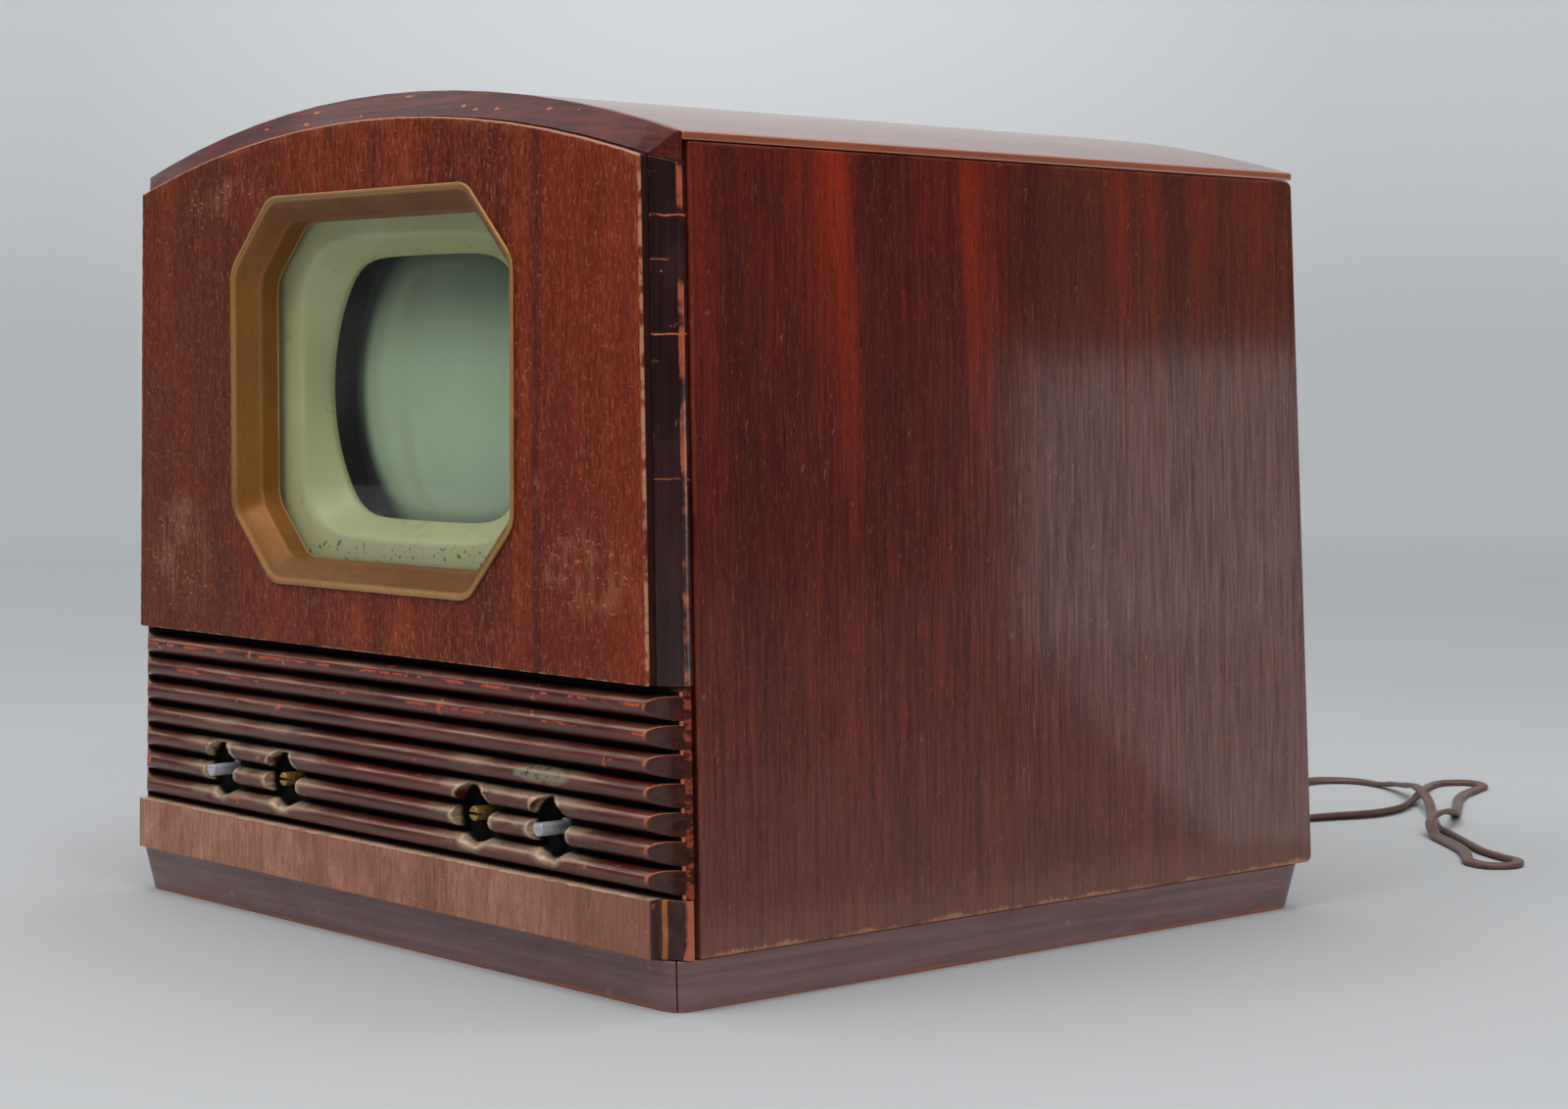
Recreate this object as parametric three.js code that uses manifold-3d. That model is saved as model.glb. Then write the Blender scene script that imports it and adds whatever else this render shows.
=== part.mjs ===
// A seven-inch table television set in a veneered wooden cabinet, late 1940s style.
// Units are millimetres. +Z is up, the screen faces -Y, and +X is the viewer's right.
// Everything is laid out in cabinet coordinates, where y = 0 is the face of the front panel and
// z = 0 is the floor. The exported group is then centred on the set's own box.
import * as THREE from 'three';
import { mergeVertices } from 'three/addons/utils/BufferGeometryUtils.js';
import Module from 'manifold-3d';

const wasm = await Module();
wasm.setup();

// ---------------------------------------------------------------- driving dimensions
const GAP = 0.3; // between pieces that touch
const BODY_Z = 21; // underside of the cabinet body, top of the plinth
const BODY_HALF = 202.3; // half the body's width at BODY_Z
const LEAN = 0.027; // each side leans in by this much per millimetre of height
const BEVEL_W = 10.3; // width of the dark bevel round the front, seen from the front
const BEVEL_START = 4.1; // y where the bevel leaves the front panel's edge
const BEVEL_END = 10.3; // y where the bevel meets the side
const FRAME_BACK = 12.8; // y of the back of the bevelled frame's visible edge
const GROOVE_W = 1.7; // depth of the dark groove between frame and side panel
const FRONT_BACK = 14; // y of the back of the lower front boards
const SIDE_FRONT = 15.8; // y of the side panels' front edge
const REAR_Y = 384.5; // y of the side panels' rear edge at BODY_Z
const REAR_LEAN = 0.033; // the rear edge comes forward by this much per millimetre of height
const SIDE_TOP = 333.2; // top of the side panels
const BOARD = 12; // thickness of sides, floor and front panel
const RAIL_TOP = 44.2; // top of the lower front rail
const GRILLE_TOP = 125.7; // top of the reeded board
const PANEL_BOTTOM = 126; // bottom of the front panel
const ARCH_CENTRE = -365.9; // z of the centre of all the arched pieces
const ARCH_PANEL = 718; // radius of the front panel's top edge
const ARCH_TOP = 728.9; // radius of the cabinet's top
const ARCH_UNDER = 718.5; // radius of the underside of the top
const ARCH_STEP = 2; // degrees per facet of an arch
const REED_PITCH = 11.1;
const REEDS = 7;
const REED_BASE = 46.4; // z of the bottom of the lowest reed
const REED_CREST = 1.2; // y of the reeds' crests
const REED_ROOT = 9.2; // y of the bottom of the grooves
const REED_GROOVE = 1.9; // height of a groove at its bottom
const SLOT_HALF = 63; // half the length of the sound slots cut through the grooves
const SHAFT_Z = 64.5;
const OUTER_SHAFT_X = 123;
const INNER_SHAFT_X = 71.7;
const SHAFT_R = 3.175;
const INNER_SHAFT_R = 3;
const BORE_R = 3.5; // bushing bore, the shafts turn in it
const WELL_R = 11.8; // round wells in the reeds, where the knobs' skirts sit
const SCREEN_Z = 237.3; // centre of the bezel
const BEZEL = { w: 94, h: 74, cut: 25 }; // inner octagon: half width, half height, corner cut
const FLANGE = 11.2; // width of the bezel's sloping flange
const BEZEL_LIP = 2; // flat rim round the flange, lapping over the front panel
const MASK_Z = 238.5;
const MASK_WINDOW = { r: 77, tall: 57.5 }; // a circle with a flat top and bottom
const MASK_RIM = { half: 80, tall: 64.5 }; // inner edge of the mask's flat rim
const REED_FULL = 2.4; // above 2 the reeds are fuller than half an ellipse
const TUBE_R = 89;
const TUBE_FACE = 38; // y of the front of the picture tube
const NECK_R = 25.5;
const NECK_END = 362;
const CHASSIS = { x: 165, y0: 66, y1: 358, z0: BODY_Z + BOARD + GAP, z1: 105, sheet: 1.5 };
const COVER_Y = 368.3; // front face of the back cover
const COVER_T = 3;
const CUP_R = 42;
const CUP_END = 412;
const SHAFT_TIP = -2.6; // y of the outer shafts' tips, the foremost points of the set
const FRAME_SHIFT = -(SHAFT_TIP + CUP_END) / 2; // centres the set on its own box
const SPEAKER_Z = 84.5;
const CORD_R = 2.9; // half the width of the flat twin lead
const COIL = { x: -60, y: 500, inner: 26, outer: 38, height: 11.8 };
const FLOOR_CLEAR = 0.1; // the coil's underside, just above the floor
const BEVEL_RUN = BEVEL_W / (BEVEL_END - BEVEL_START); // sideways run of the bevel per millimetre of depth
const PLINTH = { top: BODY_Z - GAP, half: 200.3, y0: 4.5, y1: 380, board: 16, foot: 0.982, corner: 9 };
const SLOPE_Y = 7.4; // y where the bezel's sloping flange meets its opening
const GLASS = { y0: 17.3, y1: 20.3, spare: 5 }; // safety glass, smaller than the flange by spare all round
const STRAP = { y0: 58, y1: 71, r: TUBE_R + 0.6, thick: 1.6 }; // steel band round the tube's widest part
const TUBE_BASE = { r: 28.5, end: 388 };
const SOCKET_END = 402;
const BUSHING = { r: 4.8, reach: 9 }; // threaded neck of a control, in front of the chassis
const GLAND = { x: 60, z: 48 };
const VENT = { pitch: 44, half: 14, r: 3 }; // slots of the back cover

const halfWidth = (z) => BODY_HALF - LEAN * (z - BODY_Z);
const panelHalf = (z) => halfWidth(z) - BEVEL_W;
const archZ = (radius, x) => ARCH_CENTRE + Math.sqrt(radius * radius - x * x);

// ---------------------------------------------------------------- solids
function toSolid(geometry) {
  const bare = geometry.index ? geometry.toNonIndexed() : geometry.clone();
  for (const name of Object.keys(bare.attributes)) {
    if (name !== 'position') {
      bare.deleteAttribute(name);
    }
  }
  const merged = mergeVertices(bare, 1e-4);
  const at = merged.attributes.position;
  const index = merged.index.array;
  const corner = (i) => new THREE.Vector3().fromBufferAttribute(at, index[i]);
  const kept = [];
  let volume = 0;
  for (let i = 0; i < index.length; i += 3) {
    const [a, b, c] = [index[i], index[i + 1], index[i + 2]];
    if (a !== b && b !== c && c !== a) {
      kept.push(a, b, c);
      volume += corner(i).dot(corner(i + 1).cross(corner(i + 2)));
    }
  }
  const triVerts = new Uint32Array(volume < 0 ? kept.reverse() : kept);
  return new wasm.Manifold(
    new wasm.Mesh({ numProp: 3, vertProperties: new Float32Array(at.array), triVerts })
  );
}

function toGeometry(solid) {
  const mesh = solid.getMesh();
  const geometry = new THREE.BufferGeometry();
  geometry.setAttribute('position', new THREE.BufferAttribute(mesh.vertProperties, mesh.numProp));
  geometry.setIndex(new THREE.BufferAttribute(mesh.triVerts, 1));
  return geometry;
}

const join = (...parts) => toGeometry(parts.map(toSolid).reduce((a, b) => a.add(b)));
const cut = (body, ...tools) => toGeometry(tools.map(toSolid).reduce((a, b) => a.subtract(b), toSolid(body)));
const common = (...parts) => toGeometry(parts.map(toSolid).reduce((a, b) => a.intersect(b)));

function box(x0, x1, y0, y1, z0, z1) {
  const geometry = new THREE.BoxGeometry(x1 - x0, y1 - y0, z1 - z0);
  return geometry.translate((x0 + x1) / 2, (y0 + y1) / 2, (z0 + z1) / 2);
}

const X = new THREE.Vector3(1, 0, 0);
const Y = new THREE.Vector3(0, 1, 0);
const Z = new THREE.Vector3(0, 0, 1);

function extruded(shape, depth, options = {}) {
  return new THREE.ExtrudeGeometry(shape, { depth, bevelEnabled: false, curveSegments: 5, ...options });
}

// A shape drawn in x and y, raised from z0 to z1.
function raised(shape, z0, z1, options) {
  return extruded(shape, z1 - z0, options).translate(0, 0, z0);
}

// A shape drawn in x and z, running back from y0 to y1.
function run(shape, y0, y1, options) {
  const turn = new THREE.Matrix4().makeBasis(X, Z, Y.clone().negate());
  return extruded(shape, y1 - y0, options).applyMatrix4(turn).translate(0, y1, 0);
}

// A shape drawn in y and z, running across from x0 to x1.
function across(shape, x0, x1) {
  const turn = new THREE.Matrix4().makeBasis(Y, Z, X);
  return extruded(shape, x1 - x0).applyMatrix4(turn).translate(x0, 0, 0);
}

// A profile of [radius, y] points turned round an axis along y through (x, z).
function turned(profile, x, z, segments = 32) {
  const points = profile.map(([r, y]) => new THREE.Vector2(r, y));
  return new THREE.LatheGeometry(points, segments).translate(x, 0, z);
}

// The same round an upright axis through (x, y); the profile's second number is then z.
function upright(profile, x, y, segments = 24) {
  const points = profile.map(([r, z]) => new THREE.Vector2(r, z));
  return new THREE.LatheGeometry(points, segments).rotateX(Math.PI / 2).translate(x, y, 0);
}

const rod = (r, y0, y1, x, z, segments = 24) => turned([[0, y0], [r, y0], [r, y1], [0, y1]], x, z, segments);

function polygon(points) {
  return new THREE.Shape(points.map(([a, b]) => new THREE.Vector2(a, b)));
}

// Leans both sides of the cabinet in towards the top.
function leaned(geometry) {
  const at = geometry.attributes.position;
  for (let i = 0; i < at.count; i += 1) {
    at.setX(i, at.getX(i) - Math.sign(at.getX(i)) * LEAN * (at.getZ(i) - BODY_Z));
  }
  return geometry;
}

// Points along an arch of the given radius, from x = -half to x = half.
function arch(radius, half) {
  const step = THREE.MathUtils.degToRad(ARCH_STEP);
  const last = Math.asin(half / radius);
  const whole = Math.floor(last / step);
  const angles = [-last];
  for (let i = -whole; i <= whole; i += 1) {
    angles.push(i * step);
  }
  angles.push(last);
  return angles.map((a) => [radius * Math.sin(a), ARCH_CENTRE + radius * Math.cos(a)]);
}

// A closed outline from its corner points, each corner rounded with its own radius.
function rounded(corners) {
  const shape = new THREE.Shape();
  const n = corners.length;
  corners.forEach(([x, y, radius], i) => {
    const here = new THREE.Vector2(x, y);
    const before = new THREE.Vector2(...corners[(i + n - 1) % n]).sub(here).setLength(radius);
    const after = new THREE.Vector2(...corners[(i + 1) % n]).sub(here).setLength(radius);
    const from = here.clone().add(before);
    const to = here.clone().add(after);
    if (i === 0) {
      shape.moveTo(from.x, from.y);
    } else {
      shape.lineTo(from.x, from.y);
    }
    shape.quadraticCurveTo(x, y, to.x, to.y);
  });
  shape.closePath();
  return shape;
}

// The bezel's octagon, grown outwards by d.
function octagon(d, radius = 6) {
  const w = BEZEL.w + d;
  const h = BEZEL.h + d;
  const c = BEZEL.cut + d * (2 - Math.SQRT2);
  const corners = [
    [w, -h + c], [w, h - c], [w - c, h], [-w + c, h],
    [-w, h - c], [-w, -h + c], [-w + c, -h], [w - c, -h],
  ];
  return rounded(corners.map(([x, z]) => [x, z + SCREEN_Z, radius]));
}

// ---------------------------------------------------------------- materials and assembly
const finishes = {
  veneer: [0x6e3420, 0.35, 0],
  side_veneer: [0x4e1e16, 0.25, 0],
  bevel_wood: [0x2c1114, 0.4, 0],
  plinth_wood: [0x3d2629, 0.5, 0],
  raw_wood: [0xa9814f, 0.8, 0],
  bezel_bronze: [0x6a4f2c, 0.4, 0.7],
  window_glass: [0xd8e4e0, 0.05, 0],
  mask_plastic: [0xb9c7a4, 0.5, 0],
  tube_glass: [0x59645f, 0.08, 0],
  steel: [0x9a9c9e, 0.35, 0.9],
  brass: [0xa98a4a, 0.35, 0.9],
  phenolic: [0x2a211c, 0.5, 0],
  fibreboard: [0x5b4636, 0.85, 0],
  grille_cloth: [0x3a3029, 0.95, 0],
  paper_cone: [0x2b2928, 0.95, 0],
  cord_rubber: [0x4a2f27, 0.55, 0],
};

const set = new THREE.Group();
set.position.y = FRAME_SHIFT;

function add(name, geometry, finish) {
  const [color, roughness, metalness] = finishes[finish];
  const clean = toGeometry(toSolid(geometry));
  clean.computeVertexNormals();
  const mesh = new THREE.Mesh(clean, new THREE.MeshStandardMaterial({ color, roughness, metalness }));
  mesh.name = name;
  set.add(mesh);
  return mesh;
}

// ---------------------------------------------------------------- cabinet
function sidePanel(sign) {
  const rearTop = REAR_Y - REAR_LEAN * (SIDE_TOP - BODY_Z);
  const corner = 4;
  const sharp = 0.01;
  const outline = rounded([
    [SIDE_FRONT, BODY_Z, sharp], [REAR_Y, BODY_Z, corner],
    [rearTop, SIDE_TOP, corner], [SIDE_FRONT, SIDE_TOP, sharp],
  ]);
  const outer = sign * BODY_HALF;
  const inner = sign * (BODY_HALF - BOARD);
  return leaned(across(outline, Math.min(outer, inner), Math.max(outer, inner)));
}

function topPanel() {
  const lipZ = SIDE_TOP + GAP;
  const half = halfWidth(SIDE_TOP);
  const inside = half - BOARD - 2 * GAP;
  const under = arch(ARCH_UNDER, inside).reverse();
  const outline = [
    ...arch(ARCH_TOP, half), [half, lipZ], [inside, lipZ], ...under, [-inside, lipZ], [-half, lipZ],
  ];
  return run(polygon(outline), FRAME_BACK + GAP, REAR_Y - REAR_LEAN * (SIDE_TOP - BODY_Z));
}

// The front's plan outline at the floor: a flat face between two bevels that run out to the sides.
function frontPlan(faceHalf, faceY, back) {
  const half = [
    [faceHalf, faceY], [BODY_HALF, BEVEL_END], [BODY_HALF, FRAME_BACK],
    [BODY_HALF - GROOVE_W, FRAME_BACK], [BODY_HALF - GROOVE_W, back],
  ];
  return [...half, ...half.map(([x, y]) => [-x, y]).reverse()];
}

function bevelledFront(z0, z1, back) {
  const faceHalf = BODY_HALF - BEVEL_END * BEVEL_RUN;
  return leaned(raised(polygon(frontPlan(faceHalf, 0, back)), z0, z1));
}

function lowerRail() {
  const edge = BODY_HALF - BEVEL_W;
  const plan = frontPlan(edge, BEVEL_START, FRONT_BACK);
  const face = [[edge, 0], ...plan, [-edge, 0]];
  return leaned(raised(polygon(face), BODY_Z, RAIL_TOP));
}

function post(sign) {
  const inner = BODY_HALF - BEVEL_W + GAP;
  const back = SIDE_FRONT - GAP;
  const plan = [
    [inner, BEVEL_START], [BODY_HALF, BEVEL_END], [BODY_HALF, FRAME_BACK],
    [BODY_HALF - GROOVE_W, FRAME_BACK], [BODY_HALF - GROOVE_W, back], [inner, back],
  ];
  const under = rod(ARCH_PANEL - GAP, 0, SIDE_FRONT + 1, 0, ARCH_CENTRE, 360 / ARCH_STEP);
  const bar = leaned(raised(polygon(plan.map(([x, y]) => [sign * x, y])), PANEL_BOTTOM, SIDE_TOP));
  return common(bar, under);
}

function archRail() {
  const ring = turned(
    [
      [ARCH_PANEL, BEVEL_START], [ARCH_TOP, BEVEL_END],
      [ARCH_TOP, FRAME_BACK], [ARCH_PANEL, FRAME_BACK], [ARCH_PANEL, BEVEL_START],
    ],
    0, ARCH_CENTRE, 360 / ARCH_STEP
  );
  return common(ring, bevelledFront(SIDE_TOP - 20, ARCH_CENTRE + ARCH_TOP + 1, SIDE_FRONT));
}

function frontPanel() {
  const top = panelHalf(archZ(ARCH_PANEL, panelHalf(SIDE_TOP)));
  const bottom = panelHalf(PANEL_BOTTOM);
  const outline = polygon([[-bottom, PANEL_BOTTOM], [bottom, PANEL_BOTTOM], ...arch(ARCH_PANEL - GAP, top).reverse()]);
  const hole = run(octagon(FLANGE - BEZEL_LIP + GAP), -1, BOARD + 1);
  return cut(run(outline, 0, BOARD), hole);
}

// One reed's half-round front, as [y, z] points from its lower groove to its upper one.
function reedProfile(z0) {
  const half = (REED_PITCH - REED_GROOVE) / 2;
  const middle = z0 + REED_PITCH / 2;
  const steps = 10;
  const points = [];
  for (let i = 0; i <= steps; i += 1) {
    const t = -Math.cos((Math.PI * i) / steps);
    const depth = (REED_ROOT - REED_CREST) * Math.sqrt(Math.max(0, 1 - Math.abs(t) ** REED_FULL));
    points.push([REED_ROOT - depth, middle + half * t]);
  }
  return points;
}

function reededBoard() {
  const front = [[REED_ROOT, RAIL_TOP + GAP]];
  for (let i = 0; i < REEDS; i += 1) {
    front.push(...reedProfile(REED_BASE + i * REED_PITCH - REED_GROOVE / 2));
  }
  front.push([REED_ROOT, GRILLE_TOP], [FRONT_BACK, GRILLE_TOP], [FRONT_BACK, RAIL_TOP + GAP]);
  const reeds = across(polygon(front), -BODY_HALF - 1, BODY_HALF + 1);
  const board = common(reeds, bevelledFront(RAIL_TOP + GAP, GRILLE_TOP, FRONT_BACK));
  const shaftHole = 5.5;
  const past = FRONT_BACK + 1;
  const well = [
    [0, -1], [WELL_R + 1.4, -1], [WELL_R - 1, REED_ROOT + 1], [shaftHole, REED_ROOT + 2.2], [shaftHole, past], [0, past],
  ];
  const wells = [-OUTER_SHAFT_X, -INNER_SHAFT_X, INNER_SHAFT_X, OUTER_SHAFT_X].map((x) => turned(well, x, SHAFT_Z));
  const slots = [];
  for (let i = 2; i < REEDS; i += 1) {
    const z = REED_BASE + i * REED_PITCH - REED_GROOVE / 2;
    slots.push(box(-SLOT_HALF, SLOT_HALF, REED_ROOT - 2, past, z - REED_GROOVE / 2, z + REED_GROOVE / 2));
  }
  return cut(board, ...wells, ...slots);
}

function plinthRing() {
  const { half, y0, y1, corner, top, board, foot } = PLINTH;
  const middle = (y0 + y1) / 2;
  const depth = (y1 - y0) / 2;
  const outline = rounded([[-half, -depth, corner], [half, -depth, corner], [half, depth, corner], [-half, depth, corner]]);
  const block = raised(outline, 0, top);
  const at = block.attributes.position;
  for (let i = 0; i < at.count; i += 1) {
    const scale = foot + ((1 - foot) * at.getZ(i)) / top;
    at.setXY(i, at.getX(i) * scale, at.getY(i) * scale + middle);
  }
  return cut(block, box(-half + board, half - board, y0 + board, y1 - board, -1, top + 1));
}

// The part of the plinth on one side, cut off at its mitred corners.
function plinthBoard(side) {
  const { half, y0, y1, board } = PLINTH;
  const near = GAP / 2 + 0.06;
  const reach = 60;
  const [x1, ya, yb] = [half - board, y0 + board, y1 - board];
  const regions = {
    front: [[-x1 - reach, ya - reach - near], [x1 + reach, ya - reach - near], [x1, ya - near], [-x1, ya - near]],
    back: [[-x1, yb + near], [x1, yb + near], [x1 + reach, yb + reach + near], [-x1 - reach, yb + reach + near]],
    left: [[-x1 - near, ya], [-x1 - near, yb], [-x1 - reach - near, yb + reach], [-x1 - reach - near, ya - reach]],
    right: [[x1 + near, ya], [x1 + reach + near, ya - reach], [x1 + reach + near, yb + reach], [x1 + near, yb]],
  };
  return common(plinthRing(), raised(polygon(regions[side]), -1, BODY_Z + 1));
}

add('side_panel_left', sidePanel(-1), 'side_veneer');
add('side_panel_right', sidePanel(1), 'side_veneer');
add('top_panel', topPanel(), 'side_veneer');
const floorHalf = halfWidth(BODY_Z + BOARD) - BOARD - 2 * GAP;
add('bottom_board', box(-floorHalf, floorHalf, SIDE_FRONT, REAR_Y - 6, BODY_Z, BODY_Z + BOARD), 'raw_wood');
add('front_panel', frontPanel(), 'veneer');
add('front_post_left', post(-1), 'bevel_wood');
add('front_post_right', post(1), 'bevel_wood');
add('front_arch_rail', archRail(), 'bevel_wood');
add('reed_grille', reededBoard(), 'bevel_wood');
add('front_lower_rail', lowerRail(), 'veneer');
for (const side of ['front', 'left', 'right', 'back']) {
  add(`plinth_${side}`, plinthBoard(side), 'plinth_wood');
}
for (const [name, sign] of [['back_batten_left', -1], ['back_batten_right', 1]]) {
  const width = 12;
  const outer = halfWidth(SIDE_TOP) - BOARD - 1;
  const [x0, x1] = [sign * outer, sign * (outer - width)].sort((a, b) => a - b);
  add(name, box(x0, x1, COVER_Y - 10, COVER_Y - GAP, 40, 322), 'raw_wood');
}

// ---------------------------------------------------------------- screen opening
function bezel() {
  const lipFront = -1.5;
  const backEdge = 17;
  const slope = SLOPE_Y - lipFront;
  const lip = run(octagon(FLANGE), lipFront, -GAP);
  const body = run(octagon(FLANGE - BEZEL_LIP), -GAP - 0.1, backEdge);
  const through = run(octagon(0), -20, backEdge + 1);
  const flare = { bevelEnabled: true, bevelSegments: 1, bevelSize: FLANGE - BEZEL_LIP, bevelThickness: slope };
  const shape = octagon(0);
  const turn = new THREE.Matrix4().makeBasis(X, Z, Y.clone().negate());
  const mouth = extruded(shape, 10, flare).applyMatrix4(turn).translate(0, lipFront, 0);
  return cut(join(lip, body), through, mouth);
}

// A closed solid through rings of [x, y, z] points that all have the same count.
function lofted(rings) {
  const count = rings[0].length;
  const corners = rings.flat(2);
  const index = [];
  for (let r = 0; r + 1 < rings.length; r += 1) {
    for (let i = 0; i < count; i += 1) {
      const a = r * count + i;
      const b = r * count + ((i + 1) % count);
      index.push(a, b, b + count, a, b + count, a + count);
    }
  }
  const last = (rings.length - 1) * count;
  for (let i = 1; i + 1 < count; i += 1) {
    index.push(0, i + 1, i, last, last + i, last + i + 1);
  }
  const geometry = new THREE.BufferGeometry();
  geometry.setAttribute('position', new THREE.Float32BufferAttribute(corners, 3));
  geometry.setIndex(index);
  return geometry;
}

// A ring round the tube's axis at y, at radius(angle) from it.
function maskRing(y, radius) {
  const count = 72;
  return Array.from({ length: count }, (_, i) => {
    const a = (2 * Math.PI * i) / count;
    return [radius(a) * Math.cos(a), y, MASK_Z + radius(a) * Math.sin(a)];
  });
}

// The window: a circle cut off flat at top and bottom, its four corners eased.
function windowRadius(a) {
  const ease = 14;
  const flat = Math.abs(Math.sin(a)) / MASK_WINDOW.tall;
  return (MASK_WINDOW.r ** -ease + flat ** ease) ** (-1 / ease);
}

// The inner edge of the rim: a rectangle with generous round corners.
function rimRadius(a) {
  const ease = 5;
  const [x, z] = [Math.abs(Math.cos(a)) / MASK_RIM.half, Math.abs(Math.sin(a)) / MASK_RIM.tall];
  return (x ** ease + z ** ease) ** (-1 / ease);
}

function pictureMask() {
  const front = GLASS.y1 + GAP;
  const windowY = 33;
  const plate = run(octagon(FLANGE + 2), front, windowY + 3);
  const hollow = lofted([
    maskRing(front - 1, rimRadius), maskRing(front + 1, rimRadius),
    maskRing(windowY, windowRadius), maskRing(windowY + 4, windowRadius),
  ]);
  return cut(plate, hollow);
}

add('bezel', bezel(), 'bezel_bronze');
add('safety_glass', run(octagon(FLANGE - GLASS.spare), GLASS.y0, GLASS.y1), 'window_glass');
add('picture_mask', pictureMask(), 'mask_plastic');

// ---------------------------------------------------------------- picture tube
const tubeProfile = [
  [0, TUBE_FACE], [32, TUBE_FACE + 1], [58, TUBE_FACE + 3.5], [76, TUBE_FACE + 7], [84, TUBE_FACE + 10],
  [TUBE_R, TUBE_FACE + 18], [TUBE_R, TUBE_FACE + 36], [84, TUBE_FACE + 46], [70, TUBE_FACE + 76],
  [48, TUBE_FACE + 122], [32, TUBE_FACE + 158], [NECK_R, TUBE_FACE + 182], [NECK_R, NECK_END], [0, NECK_END],
];
add('picture_tube', turned(tubeProfile, 0, MASK_Z, 40), 'tube_glass');
add('tube_base', rod(TUBE_BASE.r, NECK_END + GAP, TUBE_BASE.end, 0, MASK_Z), 'phenolic');
const socketFront = TUBE_BASE.end + GAP;
const socket = [[0, socketFront], [27, socketFront], [27, SOCKET_END - 3], [23, SOCKET_END], [0, SOCKET_END]];
add('tube_socket', turned(socket, 0, MASK_Z), 'phenolic');

function tubeStrap() {
  const { r, y0, y1, thick } = STRAP;
  return turned([[r, y0], [r + thick, y0], [r + thick, y1], [r, y1], [r, y0]], 0, MASK_Z, 40);
}

function tubeCradle() {
  const { r, y0, y1, thick } = STRAP;
  const half = 78;
  const block = box(-half, half, y0, y1, CHASSIS.z1 + GAP, 182);
  return cut(block, rod(r + thick + 0.8, y0 - 8, y1 + 9, 0, MASK_Z, 40));
}

function neckSupport() {
  const [half, y0, y1] = [38, 298, 302];
  return cut(box(-half, half, y0, y1, CHASSIS.z1 + GAP, 280), rod(NECK_R + 1, y0 - 8, y1 + 8, 0, MASK_Z));
}

add('tube_strap', tubeStrap(), 'steel');
add('tube_cradle', tubeCradle(), 'raw_wood');
add('neck_support', neckSupport(), 'steel');

// ---------------------------------------------------------------- chassis and what stands on it
const shaftSpots = [
  { x: OUTER_SHAFT_X, r: SHAFT_R, tip: SHAFT_TIP, body: 'volume_control', shaft: 'volume_shaft' },
  { x: INNER_SHAFT_X, r: INNER_SHAFT_R, tip: 3.3, body: 'contrast_control', shaft: 'contrast_shaft' },
  { x: -INNER_SHAFT_X, r: INNER_SHAFT_R, tip: 3.3, body: 'brightness_control', shaft: 'brightness_shaft' },
  { x: -OUTER_SHAFT_X, r: SHAFT_R, tip: SHAFT_TIP, body: 'channel_switch', shaft: 'channel_shaft' },
];

function chassisPan() {
  const { x, y0, y1, z0, z1, sheet } = CHASSIS;
  const hollow = box(-x + sheet, x - sheet, y0 + sheet, y1 - sheet, z0 - 1, z1 - sheet);
  const holes = shaftSpots.map((spot) => rod(BUSHING.r + GAP, y0 - 1, y0 + sheet + 1, spot.x, SHAFT_Z));
  return cut(box(-x, x, y0, y1, z0, z1), hollow, ...holes);
}

// A control: its can behind the chassis front, and the threaded bushing that carries the shaft.
function control(x, bodyR, depth) {
  const wall = CHASSIS.y0 + CHASSIS.sheet + GAP;
  const tip = CHASSIS.y0 - BUSHING.reach;
  const outline = [
    [0, wall + depth], [bodyR, wall + depth], [bodyR, wall], [BUSHING.r, wall],
    [BUSHING.r, tip], [BORE_R, tip], [BORE_R, wall + 4], [0, wall + 4],
  ];
  return turned(outline, x, SHAFT_Z);
}

// Outer shafts have a flat for a push-on knob, inner ones a screwdriver slot.
function shaft(spot) {
  const bar = rod(spot.r, spot.tip, CHASSIS.y0 + 4.5, spot.x, SHAFT_Z);
  const chamfer = 0.5;
  const kept = [
    [0, spot.tip - 2], [spot.r - chamfer, spot.tip - 2], [spot.r - chamfer, spot.tip],
    [spot.r + 2 * chamfer, spot.tip + 3 * chamfer], [0, spot.tip + 3 * chamfer],
  ];
  const sleeve = rod(spot.r + 1, spot.tip - 1, spot.tip + chamfer, spot.x, SHAFT_Z);
  const point = cut(sleeve, turned(kept, spot.x, SHAFT_Z));
  const isOuter = spot.tip < 0;
  const flat = { depth: 1.2, long: 14 };
  const slot = { half: 0.7, long: 4 };
  const [x0, x1] = [spot.x - 5, spot.x + 5];
  const groove = isOuter
    ? box(x0, x1, spot.tip - 1, spot.tip + flat.long, SHAFT_Z + spot.r - flat.depth, SHAFT_Z + 6)
    : box(x0, x1, spot.tip - 1, spot.tip + slot.long, SHAFT_Z - slot.half, SHAFT_Z + slot.half);
  return cut(bar, point, groove);
}

add('chassis_pan', chassisPan(), 'steel');
for (const spot of shaftSpots) {
  const isSwitch = spot.body === 'channel_switch';
  add(spot.body, control(spot.x, isSwitch ? 19 : 12, isSwitch ? 44 : 13), 'steel');
  add(spot.shaft, shaft(spot), spot.tip < 0 ? 'steel' : 'brass');
}

const deck = CHASSIS.z1 + GAP;
const coreBlock = box(-128, -58, 262, 318, deck + 8, deck + 66);
const windings = box(-120, -66, 246, 334, deck, deck + 58);
add('power_transformer', join(coreBlock, windings), 'steel');
add('high_voltage_cage', box(62, 152, 250, 344, deck, deck + 92), 'steel');
add('tuner_box', box(-158, -104, 84, 196, deck, deck + 58), 'steel');

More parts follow.
